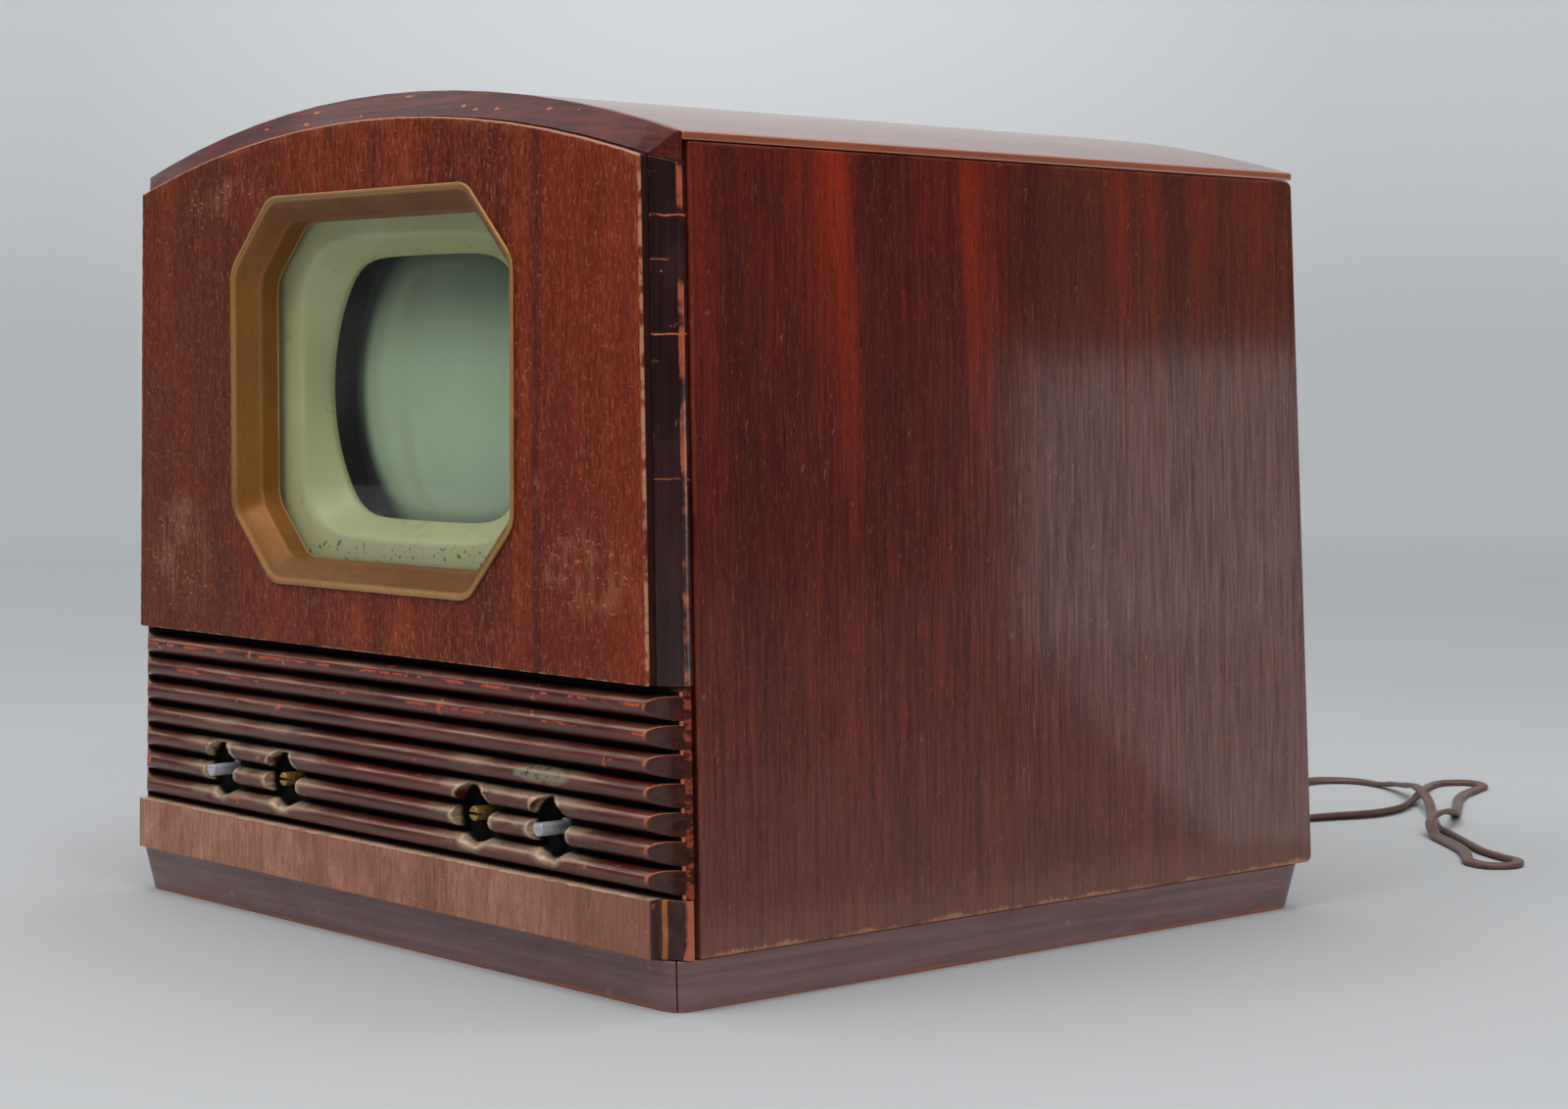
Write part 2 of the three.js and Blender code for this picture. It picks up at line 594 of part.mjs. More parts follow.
// A receiving valve in its socket: base, shoulder and domed envelope.
function valve(x, y, r, tall) {
  const outline = [
    [0, deck], [r * 0.9, deck], [r * 0.9, deck + tall * 0.2], [r, deck + tall * 0.3],
    [r, deck + tall * 0.82], [r * 0.62, deck + tall * 0.95], [0, deck + tall],
  ];
  return upright(outline, x, y, 16);
}

// x, y, radius and height of each valve and each smoothing capacitor's can.
const valves = [[126, 96, 12, 62], [140, 146, 10, 54], [120, 196, 13, 78], [-86, 222, 12, 62], [-140, 226, 12, 70]];
valves.forEach(([x, y, r, tall], i) => add(`valve_${i + 1}`, valve(x, y, r, tall), 'tube_glass'));
const cans = [[-30, 336, 13, 76], [34, 240, 15, 62]];
cans.forEach(([x, y, r, tall], i) => {
  add(`filter_can_${i + 1}`, upright([[0, deck], [r, deck], [r, deck + tall], [0, deck + tall]], x, y, 20), 'steel');
});

// ---------------------------------------------------------------- loudspeaker
const CLOTH_Y = FRONT_BACK + GAP;
add('grille_cloth', box(-66, 66, CLOTH_Y, CLOTH_Y + 0.8, 48, 124), 'grille_cloth');
const baffleY = CLOTH_Y + 0.8 + GAP;
const baffle = box(-60, 60, baffleY, baffleY + 5, CHASSIS.z0 + 0.4, 137);
add('speaker_baffle', cut(baffle, rod(43, 0, 30, 0, SPEAKER_Z, 32)), 'raw_wood');
const basketY = baffleY + 5 + GAP;
const basket = [
  [50, basketY], [50, basketY + 1.4], [44, basketY + 2], [24, basketY + 24], [24, basketY + 26],
  [8, basketY + 26], [8, basketY + 24.6], [22.5, basketY + 24.6], [43, basketY + 1], [43, basketY], [50, basketY],
];
add('speaker_frame', turned(basket, 0, SPEAKER_Z), 'steel');
const cone = [
  [42, basketY], [42, basketY + 0.8], [12, basketY + 18], [0, basketY + 16],
  [0, basketY + 14.8], [12, basketY + 16.6], [41, basketY],
];
add('speaker_cone', turned([...cone, cone[0]], 0, SPEAKER_Z), 'paper_cone');
add('speaker_magnet', rod(20, basketY + 26.3, basketY + 42, 0, SPEAKER_Z), 'steel');

// ---------------------------------------------------------------- back
const SCREW_X = halfWidth(SIDE_TOP) - BOARD - 7;
const screwSpots = [[-SCREW_X, 60], [SCREW_X, 60], [-SCREW_X, 300], [SCREW_X, 300]];
function backCover() {
  const bottom = halfWidth(BODY_Z + BOARD) - BOARD - 1;
  const top = halfWidth(SIDE_TOP) - BOARD - 1;
  const z0 = BODY_Z + BOARD + GAP;
  const radius = ARCH_UNDER - 2 * GAP;
  const outline = polygon([[-bottom, z0], [bottom, z0], ...arch(radius, top).reverse()]);
  const sheet = run(outline, COVER_Y, COVER_Y + COVER_T);
  const [near, far] = [COVER_Y - 1, COVER_Y + COVER_T + 1];
  const holes = screwSpots.map(([x, z]) => rod(2.3, near, far, x, z, 12));
  holes.push(rod(38, near, far, 0, MASK_Z, 32), rod(5.2, near, far, GLAND.x, GLAND.z, 16));
  const ventRows = [84, 106, 128, 150, 316];
  for (const z of ventRows) {
    for (let column = -3; column <= 3; column += 1) {
      const { pitch, half, r } = VENT;
      const [x0, x1] = [column * pitch - half, column * pitch + half];
      const ends = [[x0, z - r, r], [x1, z - r, r], [x1, z + r, r], [x0, z + r, r]];
      holes.push(run(rounded(ends), near, far, { curveSegments: 2 }));
    }
  }
  return cut(sheet, ...holes);
}

const coverFace = COVER_Y + COVER_T + GAP;
add('back_cover', backCover(), 'fibreboard');
const cup = [
  [CUP_R - 1.5, coverFace], [CUP_R + 8, coverFace], [CUP_R + 8, coverFace + 1.5], [CUP_R, coverFace + 1.5],
  [CUP_R, CUP_END - 6], [CUP_R - 6, CUP_END], [0, CUP_END], [0, CUP_END - 1.5], [CUP_R - 6.6, CUP_END - 1.5],
  [CUP_R - 1.5, CUP_END - 6.6], [CUP_R - 1.5, coverFace],
];
add('neck_cup', turned(cup, 0, MASK_Z), 'phenolic');

function terminalStrip() {
  const [x, z] = [-96, 58];
  const plate = box(x - 26, x + 26, coverFace, coverFace + 2.5, z - 9, z + 9);
  const studs = [-15, 0, 15].map((dx) => rod(3.4, coverFace + 2, coverFace + 5.5, x + dx, z, 16));
  return join(plate, ...studs);
}
add('antenna_strip', terminalStrip(), 'phenolic');
screwSpots.forEach(([x, z], i) => {
  const head = [
    [0, COVER_Y], [1.7, COVER_Y], [1.7, coverFace], [4, coverFace], [3.4, coverFace + 1.6], [0, coverFace + 2.2],
  ];
  add(`back_screw_${i + 1}`, turned(head, x, z, 16), 'steel');
});

// ---------------------------------------------------------------- mains lead
// A moulded gland with a tapered tail, a flat twin lead that runs out to the right behind the set,
// loops, folds back and ends in a small coil with its plug.
const glandEnd = coverFace + 30;
const gland = [
  [0, coverFace - 2.6], [4.6, coverFace - 2.6], [4.6, coverFace], [8, coverFace], [8, coverFace + 4],
  [5.6, coverFace + 8], [3.6, glandEnd], [0, glandEnd],
];
add('cord_gland', turned(gland, GLAND.x, GLAND.z, 20), 'cord_rubber');

const route = [
  [60, 402, 48], [60, 416, 46], [59, 434, 36], [55, 452, 20], [48, 470, 7.5], [40, 490, 3.2], [31, 520, 3],
  [25, 552, 3], [24, 584, 3], [32, 612, 3], [41, 638, 3], [39, 664, 3], [28, 690, 3], [13, 716, 3],
  [-1, 742, 3], [-12, 763, 3], [-15, 780, 3], [-6, 792, 3], [8, 788, 3], [16, 770, 3], [24, 748, 3],
  [37, 724, 3], [55, 698, 3], [74, 670, 3.6], [87, 650, 7.4], [93, 632, 9.4], [99, 614, 7.2], [112, 600, 3.4],
  [132, 585, 3], [152, 569, 3], [166, 554, 3], [177, 541, 3], [190, 538, 3], [197, 548, 3], [192, 561, 3],
  [178, 567, 3], [160, 576, 3], [139, 592, 3], [118, 608, 3], [98, 623, 3], [80, 643, 3], [62, 665, 3.2],
  [42, 688, 6.4], [19, 708, 9.2], [-8, 730, 5.6], [-34, 745, 3.2], [-56, 746, 3], [-69, 731, 3],
  [-69, 708, 3], [-64, 684, 3], [-64, 652, 3], [-72, 616, 3], [-84, 580, 3], [-91, 550, 3], [-92, 526, 3],
];

function leadTube() {
  const path = new THREE.CatmullRomCurve3(route.map((p) => new THREE.Vector3(...p)), false, 'centripetal');
  const ring = new THREE.Shape().absarc(0, 0, CORD_R, 0, 2 * Math.PI);
  return new THREE.ExtrudeGeometry(ring, { steps: 80, bevelEnabled: false, curveSegments: 4, extrudePath: path });
}
add('cord_tube', leadTube(), 'cord_rubber');

const coilTop = FLOOR_CLEAR + COIL.height;
const coilRing = [
  [COIL.inner, FLOOR_CLEAR], [COIL.outer, FLOOR_CLEAR],
  [COIL.outer, coilTop], [COIL.inner, coilTop], [COIL.inner, FLOOR_CLEAR],
];
add('cord_coil', upright(coilRing, COIL.x, COIL.y, 32), 'cord_rubber');

function plug() {
  const x0 = COIL.x + 22.5;
  const y = COIL.y - 35;
  const z = 8;
  const turn = new THREE.Matrix4().makeBasis(Y, Z, X);
  const grip = rounded([[-9, 0.1, 4], [9, 0.1, 4], [9, 15.9, 4], [-9, 15.9, 4]]);
  const shell = extruded(grip, 24).applyMatrix4(turn).translate(x0 + 15, y, 0);
  const neck = turned([[0, 0], [3.6, 0], [5.2, 16], [0, 16]], 0, 0, 16).rotateZ(-Math.PI / 2).translate(x0, y, z);
  const blade = (dy) => box(x0 + 38, x0 + 56, y + dy - 0.8, y + dy + 0.8, z - 3.2, z + 3.2);
  return join(shell, neck, blade(-6.3), blade(6.3));
}
add('cord_plug', plug(), 'phenolic');

export default set;
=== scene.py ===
"""A seven-inch table television in a worn veneered cabinet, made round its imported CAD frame.

Lengths are metres in the row frame. Cabinet millimetres, which the part's source is drawn in, have
y = 0 on the face of the front panel; at() turns them into the row frame.
"""

import math

import bmesh
import bpy
from mathutils import Matrix, Vector, noise


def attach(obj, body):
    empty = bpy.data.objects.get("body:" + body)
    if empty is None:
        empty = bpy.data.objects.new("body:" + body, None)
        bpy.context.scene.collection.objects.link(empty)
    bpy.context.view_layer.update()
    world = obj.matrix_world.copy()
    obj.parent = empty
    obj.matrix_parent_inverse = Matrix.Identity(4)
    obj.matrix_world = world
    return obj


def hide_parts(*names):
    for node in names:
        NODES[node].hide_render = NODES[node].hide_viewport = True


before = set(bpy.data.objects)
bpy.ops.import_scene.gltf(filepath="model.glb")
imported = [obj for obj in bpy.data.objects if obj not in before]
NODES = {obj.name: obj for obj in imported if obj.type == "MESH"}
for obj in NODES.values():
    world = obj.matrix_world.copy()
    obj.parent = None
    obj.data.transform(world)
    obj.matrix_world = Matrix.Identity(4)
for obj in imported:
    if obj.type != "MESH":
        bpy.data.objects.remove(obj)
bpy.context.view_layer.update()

MM = 0.001
ORIGIN_Y = -204.7  # the front panel's face in the row frame, in millimetres

bpy.context.scene.view_settings.view_transform = "Standard"


def at(x, y, z):
    """Cabinet millimetres to the row frame."""
    return Vector((x * MM, (y + ORIGIN_Y) * MM, z * MM))


# -------- cabinet dimensions, millimetres
BODY_Z, BODY_HALF, LEAN = 21.0, 202.3, 0.027
BEVEL_W, BEVEL_START, BEVEL_END = 10.3, 4.1, 10.3
FRAME_BACK, GROOVE_W, FRONT_BACK = 12.8, 1.7, 14.0
RAIL_TOP, GRILLE_TOP = 44.2, 125.7
ARCH_CENTRE = -365.9  # height of the centre that the arch is struck from
REED_PITCH, REEDS, REED_BASE, REED_CREST, REED_ROOT, REED_GROOVE = 11.1, 7, 46.4, 1.2, 9.2, 1.9
SLOT_HALF, SHAFT_Z, OUTER_SHAFT_X, INNER_SHAFT_X, WELL_R = 63.0, 64.5, 123.0, 71.7, 11.8
SCREEN_Z, MASK_Z, OCT_W, OCT_H, OCT_CUT = 237.3, 238.5, 94.0, 74.0, 25.0
CORD_W, CORD_T = 5.8, 2.9


def half_width(z):
    return BODY_HALF - LEAN * (z - BODY_Z)


# -------- camera
CAMERA_YAW, CAMERA_PITCH, CAMERA_ROLL = math.radians(48.31), math.radians(-3.291), math.radians(0.145)
CAMERA_PLACE, CAMERA_LENS, SENSOR = (1.0998, -0.9465, 0.2440), 71.13, 36.0


def make_camera():
    yaw, pitch, roll = CAMERA_YAW, CAMERA_PITCH, CAMERA_ROLL
    forward = Vector((-math.sin(yaw) * math.cos(pitch), math.cos(yaw) * math.cos(pitch), math.sin(pitch)))
    level = forward.cross(Vector((0, 0, 1))).normalized()
    up = level.cross(forward)
    right = level * math.cos(roll) + up * math.sin(roll)
    top = up * math.cos(roll) - level * math.sin(roll)
    data = bpy.data.cameras.new("camera")
    data.sensor_width, data.lens = SENSOR, CAMERA_LENS
    camera = bpy.data.objects.new("camera", data)
    turn = Matrix((right, top, -forward)).transposed().to_4x4()
    camera.matrix_world = Matrix.Translation(CAMERA_PLACE) @ turn
    bpy.context.collection.objects.link(camera)
    bpy.context.scene.camera = camera


make_camera()


# -------- mesh helpers
def new_object(name, bm, material, smooth_angle):
    """An object whose edges stay sharp where they turn by more than an angle in degrees."""
    mesh = bpy.data.meshes.new(name)
    bm.to_mesh(mesh)
    bm.free()
    piece = bpy.data.objects.new(name, mesh)
    bpy.context.collection.objects.link(piece)
    mesh.materials.append(material)
    mesh.polygons.foreach_set("use_smooth", [True] * len(mesh.polygons))
    mesh.set_sharp_from_angle(angle=math.radians(smooth_angle))
    return piece


def stand_for(piece, nodes, body="root"):
    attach(piece, body)
    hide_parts(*nodes)
    return piece


def loft(rings, cap_start=False, cap_end=False):
    """A skin through closed rings of points that all have the same count."""
    bm = bmesh.new()
    rows = [[bm.verts.new(p) for p in ring] for ring in rings]
    count = len(rings[0])
    for a, b in zip(rows, rows[1:]):
        for i in range(count):
            j = (i + 1) % count
            bm.faces.new((a[i], a[j], b[j], b[i]))
    if cap_start:
        bm.faces.new(rows[0][::-1])
    if cap_end:
        bm.faces.new(rows[-1])
    bmesh.ops.recalc_face_normals(bm, faces=bm.faces)
    return bm


def frame_skin(rings):
    """A skin through rings that come back to the first one, like a picture frame."""
    bm = loft(rings + [rings[0]])
    bmesh.ops.remove_doubles(bm, verts=bm.verts, dist=1e-6)
    bmesh.ops.recalc_face_normals(bm, faces=bm.faces)
    return bm


def cad_copy(node):
    """A bmesh of a CAD node's shape, with its coplanar triangles joined."""
    bm = bmesh.new()
    bm.from_mesh(NODES[node].data)
    bmesh.ops.remove_doubles(bm, verts=bm.verts, dist=2e-5)
    bmesh.ops.dissolve_limit(bm, angle_limit=math.radians(0.4), verts=bm.verts, edges=bm.edges)
    return bm


def softened(node, name, material, radius, body="root", angle=28):
    """Stands for a CAD node with the same shape and every edge sharper than an angle rounded over."""
    piece = new_object(name, cad_copy(node), material, 40)
    bevel = piece.modifiers.new("edges", "BEVEL")
    bevel.width = radius * MM
    bevel.segments = 3
    bevel.limit_method = "ANGLE"
    bevel.angle_limit = math.radians(angle)
    bevel.harden_normals = True
    bevel.use_clamp_overlap = True
    return stand_for(piece, [node], body)


# -------- node trees
class Tree:
    """Builds one material's nodes. A socket or a plain value goes in anywhere."""

    def __init__(self, name):
        self.material = bpy.data.materials.new(name)
        self.material.use_nodes = True
        self.tree = self.material.node_tree
        self.tree.nodes.clear()
        self.place = None
        self.colour = None

    def put(self, socket, value):
        """Links a socket in, or sets a plain value; a colour without alpha gets one."""
        if isinstance(value, bpy.types.NodeSocket):
            self.tree.links.new(value, socket)
        elif socket.type == "RGBA":
            socket.default_value = (*value[:3], 1.0)
        else:
            socket.default_value = value

    def node(self, kind, inputs=None, **settings):
        made = self.tree.nodes.new("ShaderNode" + kind)
        for key, value in settings.items():
            setattr(made, key, value)
        for key, value in (inputs or {}).items():
            self.put(made.inputs[key], value)
        return made

    def xyz(self):
        """The object coordinates, which are the row frame's metres at rest."""
        if self.place is None:
            self.place = self.node("TexCoord").outputs["Object"]
        return self.place

    def split(self):
        parts = self.node("SeparateXYZ", {"Vector": self.xyz()}).outputs
        return parts["X"], parts["Y"], parts["Z"]

    def scaled(self, scale, offset=(0, 0, 0), source=None, rotation=(0, 0, 0)):
        source = self.xyz() if source is None else source
        inputs = {"Vector": source, "Location": offset, "Scale": scale, "Rotation": rotation}
        return self.node("Mapping", inputs).outputs["Vector"]

    def noise(self, scale, offset=(0, 0, 0), detail=3, roughness=0.55, distortion=0.0, source=None):
        """Noise in cells per metre, the same every way or with its own scale along each axis."""
        scale = scale if isinstance(scale, tuple) else (scale,) * 3
        inputs = {"Vector": self.scaled(scale, offset, source), "Scale": 1.0, "Detail": detail}
        inputs.update({"Roughness": roughness, "Distortion": distortion})
        return self.node("TexNoise", inputs).outputs["Fac"]

    def math(self, operation, a, b=0.0, c=0.0, clamp=False):
        return self.node("Math", {0: a, 1: b, 2: c}, operation=operation, use_clamp=clamp).outputs[0]

    def add(self, a, b, clamp=False):
        return self.math("ADD", a, b, clamp=clamp)

    def sub(self, a, b):
        return self.math("SUBTRACT", a, b)

    def mul(self, a, b, *more):
        product = self.math("MULTIPLY", a, b)
        return self.mul(product, *more) if more else product

    def madd(self, a, b, c):
        """a times b, plus c."""
        return self.math("MULTIPLY_ADD", a, b, c)

    def most(self, a, *others):
        for other in others:
            a = self.math("MAXIMUM", a, other)
        return a

    def abs(self, a):
        return self.math("ABSOLUTE", a)

    def length(self, a, b):
        """The length of a vector of two parts."""
        return self.math("SQRT", self.add(self.mul(a, a), self.mul(b, b)))

    def step(self, value, low, high, to_low=0.0, to_high=1.0):
        """A smooth step of value between low and high."""
        inputs = {"Value": value, "From Min": low, "From Max": high, "To Min": to_low, "To Max": to_high}
        return self.node("MapRange", inputs, interpolation_type="SMOOTHSTEP").outputs["Result"]

    def ramp(self, value, stops):
        made = self.node("ValToRGB", {"Fac": value})
        elements = made.color_ramp.elements
        while len(elements) < len(stops):
            elements.new(0.5)
        for element, (position, colour) in zip(elements, stops):
            element.position = position
            element.color = (*colour, 1.0)
        return made.outputs["Color"]

    def mix(self, factor, a, b):
        """A colour between a and b, each linear or a socket."""
        return self.node("Mix", {0: factor, 6: a, 7: b}, data_type="RGBA").outputs[2]

    def shade(self, factor, a, b):
        """A colour between two 8-bit display colours."""
        return self.mix(factor, srgb(*a), srgb(*b))

    def paint(self, mask, over, strength=None):
        """Lays a socket or an 8-bit colour over the material's own colour where the mask is."""
        if strength is not None:
            mask = self.mul(mask, strength)
        self.colour = self.mix(mask, self.colour, srgb(*over) if isinstance(over, tuple) else over)

    def blend(self, factor, a, b):
        """A number between a and b."""
        return self.node("Mix", {0: factor, 2: a, 3: b}, data_type="FLOAT").outputs[0]

    def edges(self, radius, gain):
        """From 0 on a flat to 1 on a convex or concave edge."""
        soft = self.node("Bevel", {"Radius": radius}, samples=4).outputs["Normal"]
        hard = self.node("NewGeometry").outputs["Normal"]
        alike = self.node("VectorMath", {0: soft, 1: hard}, operation="DOT_PRODUCT").outputs["Value"]
        return self.math("MULTIPLY", self.sub(1.0, alike), gain, clamp=True)

    def bump(self, height, distance, strength):
        inputs = {"Height": height, "Distance": distance, "Strength": strength}
        return self.node("Bump", inputs).outputs["Normal"]

    def surface(self, shader):
        self.tree.links.new(shader.outputs[0], self.node("OutputMaterial").inputs["Surface"])
        return self.material

    def finish(self, **sockets):
        """A principled surface; its colour is what has been painted."""
        shader = self.node("BsdfPrincipled")
        for key, value in {"base_color": self.colour, **sockets}.items():
            self.put(shader.inputs[key.replace("_", " ").title().replace("Ior", "IOR")], value)
        return self.surface(shader)


def srgb(r, g, b):
    """An 8-bit display colour as linear numbers."""
    return tuple((c / 255 / 12.92) if c <= 10 else ((c / 255 + 0.055) / 1.055) ** 2.4 for c in (r, g, b))


# -------- materials
def near(t, value, centre, half, soft):
    """1 where value is within half of centre, falling to 0 over soft. All in metres."""
    away = t.abs(t.sub(value, centre))
    return t.step(away, half + soft, half)


def patch(t, u, v, u0, v0, ru, rv):
    """A soft round patch on two coordinates."""
    du = t.mul(t.sub(u, u0), 1 / ru)
    dv = t.mul(t.sub(v, v0), 1 / rv)
    far = t.add(t.mul(du, du), t.mul(dv, dv))
    return t.step(far, 1.0, 0.1)


def scratches(t, angle, scale=700.0, length=14.0, low=0.69, high=0.72, offset=(0, 0, 0)):
    """Sparse fine lines, leaning by an angle in the x-z and y-z planes."""
    turned = t.scaled((1, 1, 1), offset, rotation=(math.radians(angle), math.radians(angle), 0))
    lines = t.noise((scale, scale, length), detail=1, source=turned)
    return t.step(lines, low, high)


def chips(t, scale, low, high, offset=(0, 0, 0)):
    """Sparse small chips with ragged outlines."""
    ragged = t.noise((scale * 4,) * 3, offset, detail=2)
    spots = t.noise((scale,) * 3, offset, detail=2, roughness=0.4)
    return t.step(t.madd(ragged, 0.18, spots), low, high)


def edge_distance(t, x, z):
    """How far inside the side's face a point is, on the leaning outline, and its size along x."""
    outline = t.madd(z, -LEAN, (BODY_HALF + LEAN * BODY_Z) * MM)
    return t.sub(outline, t.abs(x))


def arch_radius(t, x, z):
    up = t.sub(z, ARCH_CENTRE * MM)
    return t.length(x, up)


def veneer_grain(t, axis, stops, ribbon, fibre=(520, 20), pore=(1500, 110), share=0.5):
    """Paints straight-grained mahogany and gives its fibres, pale flecks and dark pores.

    The ribbon figure is a socket, or its own scale across and along the grain.
    """

    def along(across, length):
        return tuple(length if letter == axis else across for letter in "xyz")

    fibres = t.noise(along(*fibre), roughness=0.65)
    flecks = t.noise(along(*pore), (3.1, 1.7, 4.2), 2)
    pits = t.noise(along(pore[0] * 1.2, pore[1] * 0.8), (7.7, 2.9, 0.4), 1)
    if isinstance(ribbon, tuple):
        ribbon = t.noise(along(*ribbon), distortion=0.2)
    tone = t.add(t.mul(ribbon, share), t.mul(fibres, 1 - share))
    t.colour = t.ramp(tone, [(place, srgb(*colour)) for place, colour in stops])
    return fibres, flecks, pits


# Pale blots of the front panel, in metres: x, z and half sizes.
BLOTS = [(0.119, 0.199, 0.004, 0.009), (-0.152, 0.177, 0.013, 0.015), (-0.170, 0.158, 0.006, 0.016)]


def front_veneer():
    t = Tree("front_veneer")
    x, y, z = t.split()
    stops = [(0.32, (72, 22, 9)), (0.45, (110, 38, 14)), (0.56, (134, 50, 18)), (0.70, (160, 70, 28))]
    fibres, flecks, pits = veneer_grain(t, "z", stops, (34, 2), (760, 46), (1500, 230))
    t.paint(t.step(flecks, 0.54, 0.68), (196, 118, 66), 0.5)
    t.paint(t.step(pits, 0.46, 0.30), (46, 13, 7), 0.75)
    t.paint(t.step(x, 0.02, -0.16, 0.0, 0.4), t.mix(0.55, t.colour, srgb(104, 52, 30)))
    t.paint(t.step(x, -0.06, -0.15, 0.0, 0.22), (48, 20, 12))
    t.paint(t.step(x, 0.09, 0.14, 0.0, 0.22), (150, 46, 20))
    streak = near(t, t.madd(fibres, 0.004, x), 0.1215, 0.0008, 0.0035)
    t.paint(streak, (50, 18, 12), 0.5)
    # scuffed places, paler and greyer
    cloud = t.noise(60, (2, 5, 1), 4)
    scuff = t.add(patch(t, x, z, -0.152, 0.163, 0.034, 0.034), patch(t, x, z, 0.152, 0.168, 0.036, 0.022))
    scuff = t.add(scuff, patch(t, x, z, -0.11, 0.322, 0.045, 0.012), clamp=True)
    rubs = t.noise((330, 330, 48), (5, 2, 9), 4, roughness=0.7)
    streaky = t.mul(scuff, t.step(t.madd(cloud, 0.5, rubs), 0.70, 0.90))
    t.paint(streaky, (176, 116, 84), 0.42)
    blots = patch(t, x, z, 0.137, 0.171, 0.018, 0.012)
    blots = t.most(blots, *(patch(t, x, z, *place) for place in BLOTS))
    torn = t.noise((190, 190, 120), (4, 7, 1), 4, roughness=0.7)
    blots = t.mul(blots, t.step(torn, 0.50, 0.56))
    t.paint(blots, (176, 118, 90), 0.34)
    fine = t.most(scratches(t, 62), scratches(t, -34, offset=(3, 1, 2)))
    fine = t.mul(fine, t.madd(scuff, 0.5, 0.25))
    t.paint(fine, (200, 142, 110))
    # worn edges: the arch, the right and bottom edges; the pale line along the arch is partly a painted
    # highlight, the light its rounded edge catches
    wobble = t.noise(180)
    arch = t.madd(wobble, 0.0016, arch_radius(t, x, z))
    side = t.madd(wobble, -0.0018, edge_distance(t, x, z))
    foot = t.madd(wobble, -0.0022, z)
    broken = t.step(wobble, 0.42, 0.56)
    sides = t.mul(t.step(side, 0.0108, 0.0101), broken)
    feet = t.mul(t.step(foot, 0.1256, 0.1250), broken)
    rubbed = t.most(t.step(arch, 0.7174, 0.7180), sides, feet)
    faded = t.most(t.step(arch, 0.7125, 0.7182), t.step(side, 0.0125, 0.0103))
    faded = t.mul(faded, t.step(cloud, 0.46, 0.64))
    t.paint(faded, (170, 92, 56), 0.45)
    # rubbed edges painted pale; along the arch also a painted highlight
    t.paint(rubbed, (206, 144, 108), 0.8)
    # the panel's edges behind its face are stained dark
    t.paint(t.step(t.add(y, -ORIGIN_Y * MM), 0.0007, 0.0012), (44, 18, 14))
    height = t.madd(pits, 0.6, fibres)
    return t.finish(
        roughness=t.step(cloud, 0.3, 0.7, 0.42, 0.6), specular_ior_level=0.18, coat_weight=0.12,
        coat_roughness=0.3, normal=t.bump(height, 0.00014, 0.6),
    )


# The sides' ribbon figure: depth from the front face in millimetres, and how red it is there.
RIBBONS = [
    (0, 0.36), (14, 0.56), (24, 0.50), (36, 0.24), (50, 0.34), (66, 0.42), (80, 0.50), (92, 0.88),
    (99, 0.80), (105, 0.34), (120, 0.24), (142, 0.36), (160, 0.40), (168, 0.76), (175, 0.60), (183, 0.38),
    (206, 0.26), (226, 0.34), (248, 0.34), (261, 0.64), (269, 0.32), (279, 0.60), (290, 0.20), (300, 0.26),
    (309, 0.52), (322, 0.34), (350, 0.50), (366, 0.30), (400, 0.36),
]
RIBBON_SPAN, RIBBON_LEAN, RIBBON_SWAY = 400.0, 0.035, 0.016


